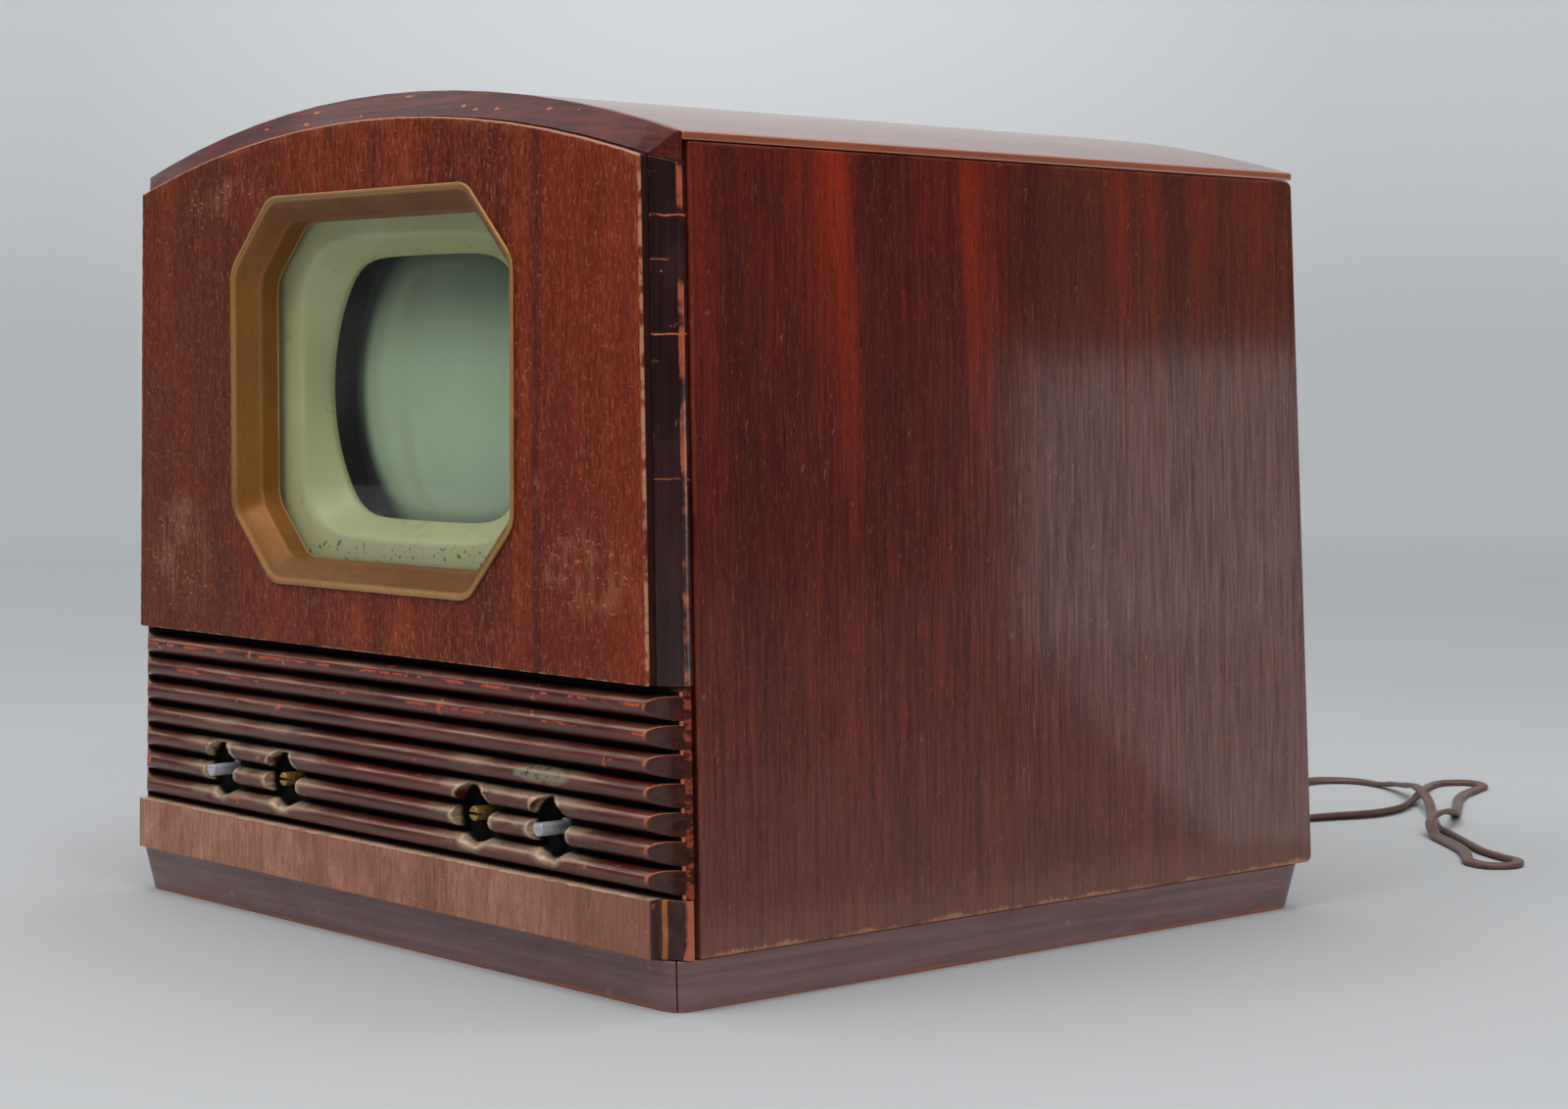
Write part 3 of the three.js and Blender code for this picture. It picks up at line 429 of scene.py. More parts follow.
def side_veneer():
    t = Tree("side_veneer")
    _, y, z = t.split()
    depth = t.madd(z, RIBBON_LEAN, t.madd(t.noise((5, 5, 7)), RIBBON_SWAY, y))
    shift = -ORIGIN_Y * MM - (RIBBON_SWAY / 2 + RIBBON_LEAN * 0.28)
    place = t.madd(depth, 1 / (RIBBON_SPAN * MM), shift / (RIBBON_SPAN * MM))
    figure = t.ramp(place, [(d / RIBBON_SPAN, (v, v, v)) for d, v in RIBBONS])
    figure = t.node("SeparateXYZ", {0: figure}).outputs[0]
    broken = t.noise((240, 240, 11), (3, 8, 2), 4, roughness=0.65)
    strength = t.step(t.madd(broken, 0.10, z), 0.22, 0.40, 0.15, 1.0)
    figure = t.blend(strength, t.step(z, 0.06, 0.22, 0.38, 0.28), figure)
    figure = t.add(figure, t.madd(broken, 0.5, -0.25))
    stops = [
        (0.24, (54, 11, 7)), (0.38, (82, 21, 10)), (0.50, (108, 33, 14)),
        (0.62, (130, 36, 12)), (0.76, (150, 44, 13)),
    ]
    fibres, flecks, pits = veneer_grain(t, "z", stops, figure, (600, 26), (1700, 210), 0.6)
    olive = t.mul(t.step(y, -0.02, 0.02), t.step(z, 0.20, 0.30))
    t.paint(olive, t.mix(0.5, t.colour, srgb(92, 62, 36)), 0.4)
    t.paint(t.step(flecks, 0.58, 0.74), (176, 92, 54), 0.35)
    t.paint(t.step(pits, 0.42, 0.28), (34, 8, 8), 0.6)
    # long pale fibres, thickest in one column and low down
    threads = t.noise((1700, 1700, 24), (1.3, 0.2, 6), 2, roughness=0.5)
    crowd = t.noise((16, 16, 4), (7, 3, 5), 2)
    wanted = t.madd(near(t, y, -0.005, 0.004, 0.008), -0.06, t.madd(crowd, -0.12, 0.70))
    wanted = t.add(wanted, t.step(z, 0.20, 0.32, 0.012, 0.045))
    thread = t.step(t.sub(threads, wanted), 0.0, 0.09)
    t.paint(thread, (168, 104, 66), 0.34)
    t.paint(scratches(t, 24, 420.0, 7.0, 0.755, 0.775), (190, 128, 98), 0.22)
    # worn and hazy foot, rubbed corners, and a painted reflection of the floor low down
    cloud = t.noise(45, (2, 5, 1), 4)
    low = t.madd(threads, -0.005, t.madd(cloud, -0.008, z))
    t.paint(t.step(low, 0.040, 0.014), (140, 92, 76), 0.36)
    # painted reflection: a grey veil towards the foot, standing in for the floor mirrored in the lacquer
    t.paint(t.step(z, 0.12, 0.03, 0.0, 0.16), (124, 104, 100))
    t.paint(t.step(low, 0.0165, 0.0145), (196, 138, 100), 0.7)
    t.paint(t.mul(t.edges(0.0016, 5.0), t.step(cloud, 0.35, 0.6)), (186, 104, 62))
    height = t.madd(pits, 0.8, fibres)
    return t.finish(
        roughness=t.step(cloud, 0.3, 0.7, 0.42, 0.55), specular_ior_level=0.12,
        coat_weight=t.step(t.add(fibres, t.mul(broken, 0.3)), 0.42, 0.85, 0.5, 1.0), coat_ior=1.38,
        coat_roughness=0.11, normal=t.bump(height, 0.00008, 0.35),
    )


def top_veneer():
    t = Tree("top_veneer")
    x, _, z = t.split()
    stops = [(0.28, (84, 44, 28)), (0.46, (120, 66, 42)), (0.60, (146, 88, 58)), (0.76, (170, 112, 78))]
    fibres, flecks, pits = veneer_grain(t, "y", stops, (26, 1.6))
    t.paint(t.step(pits, 0.42, 0.28), (46, 20, 12), 0.8)
    lip = t.step(edge_distance(t, x, z), 0.0035, 0.0022)
    t.paint(lip, t.shade(fibres, (120, 52, 24), (172, 84, 40)))
    t.paint(t.edges(0.0012, 5.0), (206, 140, 92), 0.7)
    return t.finish(
        roughness=0.4, specular_ior_level=0.6, coat_weight=1.0, coat_ior=1.6, coat_roughness=0.2,
        normal=t.bump(t.madd(pits, 1.0, fibres), 0.00006, 0.4),
    )


# Cracks across the right post, in millimetres: height, x from and to, and how bare they are.
CRACKS = [
    (305.0, 182, 198, 0.9), (288.3, 183, 191, 0.5), (260.0, 184, 197, 1.0), (249.6, 182, 188, 0.4),
    (205.0, 188, 196, 0.5),
]
# Chips of the arch, in millimetres: x, z and half sizes.
ARCH_CHIPS = [
    (-49.5, 358, 3.4, 0.8), (-52.6, 353, 1.6, 0.9), (62.8, 354, 1.8, 0.8), (70.9, 352, 2.4, 0.7),
    (84.9, 351.4, 1.5, 0.7), (-88, 353, 2.0, 0.6), (20, 360.6, 3.0, 0.6), (118, 349.5, 2.2, 0.7),
]


def dark_lacquer(name, axis, low, high, glint, coat):
    """The bevelled frame: near-black stain under gloss lacquer, cracked and chipped to orange wood."""
    t = Tree(name)
    x, _, z = t.split()
    streaks = t.noise(tuple(14 if letter == axis else 420 for letter in "xyz"), roughness=0.6)
    cloud = t.noise(30, (4, 1, 3), 4)
    t.colour = t.shade(t.step(streaks, 0.35, 0.75), low, high)
    t.paint(t.step(cloud, 0.45, 0.75, 0.0, 0.5), glint)
    fine = t.noise(260, (2, 9, 4))
    chip = t.most(chips(t, 120, 0.86, 0.885), chips(t, 300, 0.86, 0.885, (3, 5, 7)))
    if axis == "z":
        edge = edge_distance(t, x, z)
        wavy = t.madd(fine, 0.0022, z)
        for height, start, end, strength in CRACKS:
            line = near(t, wavy, (height + 1.1) * MM, 0.00018, 0.00028)
            span = near(t, x, (start + end) / 2 * MM, (end - start) / 2 * MM, 0.0012)
            chip = t.most(chip, t.mul(line, t.mul(span, t.step(fine, 0.36, 0.46, 0.3, strength))))
        dashes = t.noise((300, 300, 520), (1, 2, 8), 1)
        column = t.mul(near(t, edge, 0.0134, 0.0007, 0.0005), t.step(dashes, 0.5, 0.58))
        spans = t.add(near(t, z, 0.271, 0.006, 0.002), near(t, z, 0.291, 0.003, 0.001), clamp=True)
        chip = t.most(chip, t.mul(column, spans, t.step(x, 0.0, 0.01)))
        # the outer edge, rubbed in long dashes, most beside the reeds
        rub = t.add(t.noise((60, 60, 70), (8, 2, 1)), t.step(z, 0.15, 0.04, 0.0, 0.12))
        outer = t.step(t.madd(fine, 0.0010, edge), 0.0011, 0.0008)
        chip = t.most(chip, t.mul(outer, t.step(rub, 0.44, 0.60, 0.0, 0.7)))
        wide = t.mul(t.step(t.madd(fine, 0.0060, edge), 0.0040, 0.0030), t.step(fine, 0.40, 0.52))
        chip = t.most(chip, t.mul(wide, t.step(rub, 0.72, 0.76, 0.0, 0.6)))
        skin = t.noise((600, 600, 90), (6, 2, 5), roughness=0.7)
        chip = t.most(chip, t.step(skin, 0.70, 0.76, 0.0, 0.55))
    else:
        ragged = t.madd(fine, 0.006, x)
        for u, v, ru, rv in ARCH_CHIPS:
            spot = patch(t, ragged, z, (u + 3) * MM, v * MM, ru * MM, rv * MM)
            chip = t.most(chip, t.step(spot, 0.2, 0.5))
    chip = t.most(chip, t.mul(t.edges(0.0007, 4.0), t.step(fine, 0.44, 0.62), 0.6))
    t.paint(chip, t.shade(fine, (170, 66, 32), (226, 128, 84)))
    return t.finish(
        roughness=t.step(cloud, 0.3, 0.7, 0.32, 0.5), specular_ior_level=0.2, coat_weight=coat,
        coat_roughness=0.12, normal=t.bump(t.madd(chip, -1.5, t.madd(fine, 0.3, streaks)), 0.00015, 0.6),
    )


def reed_stain():
    """The reeded board: painted shade in the grooves and a painted highlight along each reed, rubbed on
    the crests, chipped and dusty round the wells.
    """
    t = Tree("reed_stain")
    x, y, z = t.split()
    streaks = t.noise((12, 300, 420), roughness=0.6)
    cloud = t.noise(26, (4, 1, 3), 4)
    fine = t.noise((240, 300, 420), (2, 9, 4))
    t.colour = t.shade(t.step(streaks, 0.34, 0.66), (60, 19, 13), (112, 44, 30))
    t.paint(t.step(cloud, 0.4, 0.75, 0.0, 0.5), (108, 52, 38))
    depth = t.add(y, -ORIGIN_Y * MM)
    # where in its reed a point is: -1 at the lower groove, 1 at the upper one
    first, pitch = REED_BASE - REED_GROOVE / 2, REED_PITCH
    turn = t.mul(t.add(z, -first * MM), 1 / (pitch * MM))
    phase = t.madd(t.math("FRACT", turn), 2.0, -1.0)
    across = t.mul(phase, pitch / (pitch - REED_GROOVE))
    # distance to the nearest well
    dz = t.sub(z, SHAFT_Z * MM)
    to_wells = [t.length(t.sub(t.abs(x), centre * MM), dz) for centre in (INNER_SHAFT_X, OUTER_SHAFT_X)]
    well = t.math("MINIMUM", *to_wells)
    ragged = t.madd(cloud, 0.006, t.madd(fine, 0.004, well))
    # pale dust lies on the upper halves near the wells, and along the board's middle
    drift = t.noise((55, 90, 200), (5, 5, 1), 4, roughness=0.7)
    dusty = t.mul(t.step(ragged, 0.046, 0.018), t.step(phase, -0.1, 0.45))
    t.paint(t.mul(dusty, t.step(drift, 0.36, 0.56, 0.25, 1.0)), (184, 156, 128), 0.8)
    # painted highlight: a thin pale line along each reed's upper side, broken by noise
    glimmer = t.noise((30, 200, 900), (4, 2, 6), 2)
    line = t.mul(near(t, phase, 0.42, 0.06, 0.12), t.step(glimmer, 0.44, 0.62))
    t.paint(line, (196, 150, 124), 0.45)
    t.paint(t.mul(t.step(phase, -0.2, 0.5), t.step(cloud, 0.42, 0.62)), (150, 104, 82), 0.16)
    # crests of the top two reeds rubbed through in red-orange dashes
    top_rows = t.step(t.math("FLOOR", turn), 4.4, 5.2)
    crest = near(t, t.madd(fine, 0.24, phase), 0.24, 0.07, 0.05)
    dash = t.noise((46, 5, 60), (0.3, 6, 2), 4, roughness=0.65)
    t.paint(t.mul(crest, top_rows, t.step(dash, 0.50, 0.53)), t.shade(fine, (176, 48, 22), (232, 104, 58)))
    nicks = t.most(chips(t, 110, 0.80, 0.83), chips(t, 260, 0.82, 0.85, (3, 5, 7)))
    t.paint(nicks, (204, 96, 56), 0.9)
    # a grey-green chip above the right outer well, across the fourth reed
    torn = patch(t, t.madd(fine, 0.012, x), z, 0.126, 0.0852, 0.021, 0.0042)
    torn = t.mul(t.step(torn, 0.1, 0.4), t.step(fine, 0.36, 0.46))
    t.paint(torn, t.shade(fine, (96, 94, 74), (168, 160, 130)), 0.85)
    # scooped lips below the wells, bare wood
    lip = t.mul(t.step(ragged, 0.0215, 0.0185), t.step(dz, 0.001, -0.003))
    t.paint(lip, t.shade(fine, (132, 92, 68), (222, 190, 156)), 0.8)
    t.paint(near(t, ragged, 0.0180, 0.0004, 0.0006), (224, 196, 164), 0.6)
    # painted shade: the grooves are painted near-black by their depth, standing in for the shadow in them
    painted_groove_shade = t.step(depth, 0.0048, 0.0078)
    t.paint(painted_groove_shade, (9, 5, 4))
    # the ends are cut off by the corner's bevel: dark facets with orange outlines, partly rubbed wood and
    # partly a painted highlight
    edge = edge_distance(t, x, z)
    curve = t.sub(1.0, t.math("POWER", t.math("MINIMUM", t.abs(across), 1.0), 2.4))
    reed = t.madd(t.math("SQRT", curve), -(REED_ROOT - REED_CREST) * MM, REED_ROOT * MM)
    slope = (BEVEL_END - BEVEL_START) / BEVEL_W
    cut = t.madd(edge, -slope, BEVEL_END * MM)
    over = t.sub(cut, reed)
    t.paint(t.step(over, -0.0001, 0.0004), t.shade(t.step(streaks, 0.3, 0.7), (42, 16, 12), (74, 30, 20)))
    outline = near(t, t.madd(fine, 0.0008, over), 0.0004, 0.00022, 0.0005)
    # the outlines are painted only where the reeds are lit, on their upper halves and near the outer edge:
    # a painted highlight on rubbed wood
    lit = t.most(t.step(phase, -0.5, 0.3), t.step(edge, 0.0085, 0.0045))
    outline = t.mul(outline, lit, t.step(edge, 0.018, 0.016), t.step(drift, 0.30, 0.46))
    t.paint(outline, t.shade(fine, (190, 78, 40), (216, 132, 92)), 0.9)
    lipped = t.mul(t.step(t.madd(fine, 0.0022, edge), 0.0022, 0.0015), t.step(drift, 0.50, 0.58))
    t.paint(lipped, (168, 72, 44), 0.7)
    return t.finish(
        roughness=t.most(t.step(cloud, 0.3, 0.7, 0.34, 0.5), painted_groove_shade), specular_ior_level=0.3,
        coat_weight=t.step(depth, 0.0074, 0.0050, 0.0, 0.55), coat_roughness=0.16,
        normal=t.bump(t.madd(fine, 0.7, streaks), 0.00022, 0.6),
    )


def rail_veneer():
    t = Tree("rail_veneer")
    x, y, z = t.split()
    stops = [
        (0.30, (118, 66, 46)), (0.45, (168, 106, 78)), (0.58, (198, 134, 104)), (0.74, (218, 160, 130)),
    ]
    fibres, flecks, pits = veneer_grain(t, "z", stops, (30, 8), (760, 90), (1500, 300))
    t.paint(t.step(pits, 0.42, 0.28), (84, 40, 26), 0.6)
    t.paint(t.step(x, 0.02, 0.17, 0.0, 0.55), t.shade(fibres, (116, 64, 42), (150, 92, 64)))
    wobble = t.noise(90)
    upper = t.madd(wobble, 0.0016, z)
    blotch = t.noise((70, 70, 45), (6, 1, 2), 4, roughness=0.65)
    t.paint(t.step(blotch, 0.40, 0.62, 0.0, 0.35), (134, 84, 62))
    fine = t.noise(260, (2, 9, 4))
    # painted highlight: a pale line along the rail's top edge, where it catches the light
    t.paint(t.step(upper, 0.0446, 0.0450, 0.0, 0.7), (222, 190, 160))
    nicks = t.most(chips(t, 240, 0.84, 0.87), scratches(t, 70, low=0.72, high=0.74))
    t.paint(nicks, (208, 158, 124), 0.5)
    # the corner: a dark stained edge, a bare stripe, then the frame's dark lacquer chipped to orange
    edge = t.madd(wobble, 0.0010, edge_distance(t, x, z))
    depth = t.madd(fine, 0.0008, t.add(y, -ORIGIN_Y * MM))
    t.paint(t.step(edge, 0.0122, 0.0114), (58, 24, 16))
    lacquer = t.shade(t.step(fine, 0.3, 0.7), (40, 16, 14), (70, 32, 26))
    lacquer = t.mix(chips(t, 200, 0.74, 0.80), lacquer, srgb(196, 96, 56))
    outer = t.step(t.madd(blotch, 0.012, edge), 0.0074, 0.0062)
    outer = t.most(t.step(depth, 0.0096, 0.0106), outer)
    lacquer = t.mix(outer, lacquer, t.shade(fine, (160, 70, 40), (198, 112, 76)))
    t.paint(t.step(edge, 0.0110, 0.0106), lacquer)
    stripe = t.mul(near(t, edge, 0.0092, 0.0007, 0.0005), t.step(depth, 0.0040, 0.0046))
    t.paint(stripe, t.shade(fine, (150, 80, 34), (206, 130, 62)), 0.8)
    return t.finish(
        roughness=0.5, specular_ior_level=0.35, coat_weight=0.3, coat_roughness=0.3,
        normal=t.bump(t.madd(pits, 0.6, fibres), 0.00012, 0.5),
    )


def plinth_lacquer():
    t = Tree("plinth_lacquer")
    _, _, z = t.split()
    streaks = t.noise((9, 9, 260), roughness=0.6)
    cloud = t.noise((24, 24, 50), (4, 1, 3), 4)
    fine = t.noise(300)
    t.colour = t.shade(t.step(streaks, 0.3, 0.7), (114, 80, 81), (136, 100, 101))
    t.paint(t.step(cloud, 0.45, 0.8, 0.0, 0.5), (104, 60, 50))
    low = t.madd(fine, -0.0016, t.madd(cloud, -0.0034, z))
    t.paint(t.step(low, -0.0010, -0.0018, 0.0, 0.8), (188, 100, 60))
    nicks = t.most(chips(t, 80, 0.81, 0.84), scratches(t, 78, length=9.0, low=0.71, high=0.73))
    t.paint(nicks, (186, 120, 88), 0.45)
    t.paint(t.mul(t.edges(0.0010, 4.0), t.step(cloud, 0.45, 0.6, 0.1, 0.8)), (176, 96, 60))
    return t.finish(
        roughness=t.step(cloud, 0.3, 0.7, 0.34, 0.5), specular_ior_level=0.4, coat_weight=0.4,
        coat_roughness=0.25, normal=t.bump(t.madd(fine, 0.4, streaks), 0.00015, 0.5),
    )


def raw_wood():
    t = Tree("raw_wood")
    stops = [
        (0.28, (132, 96, 58)), (0.46, (164, 126, 82)), (0.60, (184, 148, 104)), (0.76, (200, 168, 124)),
    ]
    fibres, flecks, pits = veneer_grain(t, "x", stops, (30, 2))
    t.paint(t.step(pits, 0.42, 0.28), (92, 60, 34), 0.7)
    return t.finish(roughness=0.75, normal=t.bump(fibres, 0.0003, 0.6))


def bronze():
    """The bezel's bronze paint: lightly brushed and dark-specked, gold along its edges where they are
    rubbed and as a painted highlight, with painted shade over its top and darker along its foot.
    """
    t = Tree("bezel_bronze")
    _, _, z = t.split()
    brushed = t.noise((120, 900, 420), roughness=0.6)
    cloud = t.noise(22, (1, 6, 3), 4)
    fine = t.noise(700, detail=2)
    t.colour = t.shade(t.step(brushed, 0.2, 0.8), (132, 83, 31), (146, 94, 38))
    t.paint(t.step(cloud, 0.45, 0.8, 0.0, 0.6), (112, 66, 28))
    t.paint(t.step(fine, 0.68, 0.74), (72, 44, 24), 0.4)
    # painted shade: the bezel's top, whose faces look down, is darkened
    t.paint(t.step(z, 0.27, 0.31, 0.0, 0.4), (98, 58, 34))
    # darker and browner along the foot
    t.paint(t.step(z, 0.185, 0.160, 0.0, 0.35), (92, 54, 20))
    # the edges painted gold: rubbed paint, and partly a painted highlight
    t.paint(t.mul(t.edges(0.0017, 13.0), t.step(cloud, 0.25, 0.6, 0.5, 0.95)), (228, 184, 116))
    return t.finish(
        metallic=0.3, roughness=t.step(cloud, 0.3, 0.7, 0.40, 0.54), specular_ior_level=0.3,
        normal=t.bump(t.madd(fine, 0.4, brushed), 0.00003, 0.4),
    )


def cream_mask():
    """The mask's pale green moulding, dusty, with dirt specks along the foot of the glass."""
    t = Tree("mask_plastic")
    _, _, z = t.split()
    cloud = t.noise(18, (1, 6, 3), 4)
    fine = t.noise(420)
    t.colour = t.shade(t.step(cloud, 0.3, 0.75), (208, 204, 152), (222, 218, 170))
    smudge = t.noise(60, (3, 2, 8), 4, roughness=0.7)
    t.paint(t.step(smudge, 0.60, 0.72, 0.0, 0.35), (140, 134, 100))
    specks = t.mul(chips(t, 420, 0.74, 0.78), t.step(z, 0.174, 0.169))
    t.paint(specks, (52, 44, 34), 0.85)
    return t.finish(
        roughness=t.step(fine, 0.3, 0.7, 0.34, 0.46), specular_ior_level=0.5,
        normal=t.bump(fine, 0.00006, 0.3),
    )


def tube_face():
    """Grey-green phosphor behind glass, ending in a dark ring; the shoulder and cone are coated dark."""
    t = Tree("tube_face")
    x, _, z = t.split()
    up = t.sub(z, MASK_Z * MM)
    out = t.length(x, up)
    cloud = t.noise(14, (1, 6, 3), 4)
    fine = t.noise(900, detail=2)
    t.colour = t.shade(t.step(cloud, 0.3, 0.7), (204, 222, 192), (212, 230, 200))
    t.paint(t.step(fine, 0.3, 0.7, 0.0, 0.3), (192, 210, 182))
    # painted shade: the face darkens towards its top, where the recess shades it, and a little towards its
    # foot
    t.paint(t.step(up, 0.004, 0.058, 0.0, 0.85), (106, 116, 98))
    t.paint(t.step(up, -0.020, -0.056, 0.0, 0.4), (168, 186, 160))
    t.paint(t.step(out, 0.0610, 0.0745), t.shade(cloud, (36, 40, 36), (58, 62, 56)))
    glare = t.mul(near(t, out, 0.0740, 0.0006, 0.0026), t.step(t.abs(up), 0.026, 0.006))
    t.paint(glare, (128, 134, 126), 0.5)
    return t.finish(
        roughness=0.45, specular_ior_level=0.3, coat_weight=1.0, coat_roughness=0.06,
        normal=t.bump(cloud, 0.0002, 0.1),
    )


def valve_glass():
    t = Tree("valve_glass")
    _, _, z = t.split()
    cloud = t.noise((60, 60, 40))
    t.colour = t.shade(t.step(z, 0.135, 0.15), (96, 100, 98), (168, 172, 170))
    t.paint(t.step(cloud, 0.4, 0.7, 0.0, 0.5), (60, 60, 58))
    return t.finish(roughness=0.12, metallic=0.2, coat_weight=1.0, coat_roughness=0.04)


def lighter(colour, gain, lift=0.0):
    return tuple(min(1.0, c * gain + lift) for c in srgb(*colour))


def metal(name, low, high, roughness, metallic=0.9, grain=300, stain=None):
    t = Tree(name)
    brushed = t.noise(grain, roughness=0.6)
    cloud = t.noise(40, (1, 6, 3), 4)
    t.colour = t.shade(t.step(brushed, 0.3, 0.7), low, high)
    if stain is not None:
        t.paint(t.step(cloud, 0.55, 0.75, 0.0, 0.7), stain)
    t.colour = t.mix(t.mul(t.edges(0.0008, 4.0), 0.5), t.colour, lighter(high, 1.8))
    return t.finish(
        metallic=metallic, roughness=t.step(cloud, 0.3, 0.7, roughness - 0.06, roughness + 0.1),
        normal=t.bump(brushed, 0.00005, 0.4),
    )


def moulded(name, low, high, roughness, grain=240.0, fleck=None, coat=0.0):
    """A moulded or pressed sheet material with a mottle, flecks and scuffed edges."""
    t = Tree(name)
    mottle = t.noise(grain, detail=4)
    cloud = t.noise(30, (1, 6, 3), 4)
    t.colour = t.shade(t.step(mottle, 0.3, 0.7), low, high)
    t.paint(t.step(cloud, 0.5, 0.8, 0.0, 0.4), low)
    if fleck is not None:
        t.paint(chips(t, grain, 0.76, 0.82), fleck, 0.6)
    t.colour = t.mix(t.mul(t.edges(0.0010, 4.0), 0.4), t.colour, lighter(high, 2.2, 0.02))
    return t.finish(
        roughness=t.step(cloud, 0.3, 0.7, roughness - 0.06, roughness + 0.08), coat_weight=coat,
        normal=t.bump(mottle, 0.00012, 0.5),
    )


def woven(name, dark, light, pitch):
    t = Tree(name)
    x, _, z = t.split()
    warp = t.math("SINE", t.mul(x, 2 * math.pi / pitch))
    weft = t.math("SINE", t.mul(z, 2 * math.pi / pitch))
    weave = t.mul(warp, weft)
    slub = t.noise(400)
    height = t.madd(slub, 0.8, weave)
    t.colour = t.shade(t.step(height, -0.5, 1.2), dark, light)
    return t.finish(roughness=0.9, normal=t.bump(height, 0.0004, 0.8))


def cord_rubber():
    t = Tree("cord_rubber")
    fine = t.noise(700)
    cloud = t.noise(25, (1, 6, 3), 4)
    t.colour = t.shade(t.step(fine, 0.3, 0.7), (88, 60, 52), (106, 76, 66))
    t.paint(t.step(cloud, 0.5, 0.75, 0.0, 0.5), (126, 98, 86))
    return t.finish(
        roughness=t.step(cloud, 0.3, 0.7, 0.38, 0.52), specular_ior_level=0.5,
        normal=t.bump(fine, 0.0001, 0.4),
    )


def window_glass():
    """A flat pane: light passes straight through it, and its two faces reflect by Fresnel."""
    t = Tree("window_glass")
    smear = t.noise(26, (1, 6, 3), 4)
    clear = t.node("BsdfTransparent", {"Color": (0.94, 0.965, 0.945)})
    gloss = t.node("BsdfGlossy", {"Color": (1, 1, 1), "Roughness": t.step(smear, 0.35, 0.75, 0.02, 0.06)})
    film = t.node("BsdfDiffuse", {"Color": (0.62, 0.64, 0.55)})
    outside = t.sub(1.0, t.node("NewGeometry").outputs["Backfacing"])
    fresnel = t.mul(t.node("Fresnel", {"IOR": 1.5}).outputs["Fac"], outside)
    pane = t.node("MixShader", {0: fresnel, 1: clear.outputs[0], 2: gloss.outputs[0]})
    dust = t.step(smear, 0.3, 0.8, 0.005, 0.03)
    return t.surface(t.node("MixShader", {0: dust, 1: pane.outputs[0], 2: film.outputs[0]}))


FRONT = front_veneer()
SIDE = side_veneer()
TOP = top_veneer()
POST = dark_lacquer("post_lacquer", "z", (32, 9, 10), (58, 20, 19), (68, 32, 32), 0.6)
ARCH = dark_lacquer("arch_lacquer", "x", (66, 19, 14), (108, 36, 25), (122, 52, 38), 0.32)
REED = reed_stain()
RAIL = rail_veneer()
PLINTH = plinth_lacquer()
RAW = raw_wood()
BRONZE = bronze()
MASK = cream_mask()
TUBE = tube_face()
VALVE = valve_glass()
STEEL = metal("plated_steel", (120, 120, 118), (160, 160, 158), 0.38, stain=(112, 92, 74))
ZINC = metal("zinc_shaft", (176, 178, 188), (206, 208, 216), 0.34, 0.4, (60, 900, 900))
BRASS = metal("brass", (140, 104, 52), (186, 146, 80), 0.36, 0.4, (60, 900, 900))
PHENOLIC = moulded("phenolic", (34, 24, 20), (58, 42, 34), 0.36, fleck=(96, 72, 56), coat=0.3)
BOARD = moulded("fibreboard", (86, 60, 42), (120, 90, 66), 0.72, 620, (60, 40, 28))
CLOTH = woven("grille_cloth", (26, 20, 17), (70, 56, 42), 0.0016)
PAPER = moulded("cone_paper", (26, 25, 24), (44, 42, 40), 0.9, 800)
CORD = cord_rubber()
GLASS = window_glass()

CAD_LOOKS = {
    "bottom_board tube_cradle speaker_baffle back_batten_left back_batten_right": RAW,
    "tube_strap neck_support chassis_pan speaker_frame speaker_magnet power_transformer": STEEL,
    "high_voltage_cage tuner_box filter_can_1 filter_can_2": STEEL,
    "volume_control contrast_control brightness_control channel_switch": STEEL,
    "tube_base tube_socket": PHENOLIC,
    "grille_cloth": CLOTH,
    "speaker_cone": PAPER,
    "valve_1 valve_2 valve_3 valve_4 valve_5": VALVE,
}
for nodes, material in CAD_LOOKS.items():
    for node in nodes.split():
        for slot in NODES[node].material_slots:
            slot.material = material

# -------- the mains lead
# The lead's way from the gland to its coil, in cabinet millimetres.
LEAD_ROUTE = [
    (60, 401, 48), (60, 416, 46), (59, 434, 36), (55, 452, 20), (48, 470, 7.5), (40, 490, 3.2),
    (31, 520, 3), (25, 552, 3), (24, 584, 3), (32, 612, 3), (41, 638, 3), (39, 664, 3), (28, 690, 3),
    (13, 716, 3), (-1, 742, 3), (-12, 763, 3), (-15, 780, 3), (-6, 792, 3), (8, 788, 3), (16, 770, 3),
    (24, 748, 3), (37, 724, 3), (55, 698, 3), (74, 670, 3.6), (87, 650, 7.4), (93, 632, 9.4),
    (99, 614, 7.2), (112, 600, 3.4), (132, 585, 3), (152, 569, 3), (166, 554, 3), (177, 541, 3),
    (190, 538, 3), (197, 548, 3), (192, 561, 3), (178, 567, 3), (160, 576, 3), (139, 592, 3),
    (118, 608, 3), (98, 623, 3), (80, 643, 3), (62, 665, 3.2), (42, 688, 6.4), (19, 708, 9.2),
    (-8, 730, 5.6), (-34, 745, 3.2), (-56, 746, 3), (-69, 731, 3), (-69, 708, 3), (-64, 684, 3),
    (-64, 652, 3), (-72, 616, 3), (-84, 580, 3), (-91, 550, 3), (-92, 526, 3), (-94.5, 512, 3),
]
COIL_X, COIL_Y, COIL_LENGTH, LEAD_END = -60.0, 500.0, 700.0, (-38.0, 465, 8.2)
RING_STEP, FLOOR_GAP = 1.6, 0.12


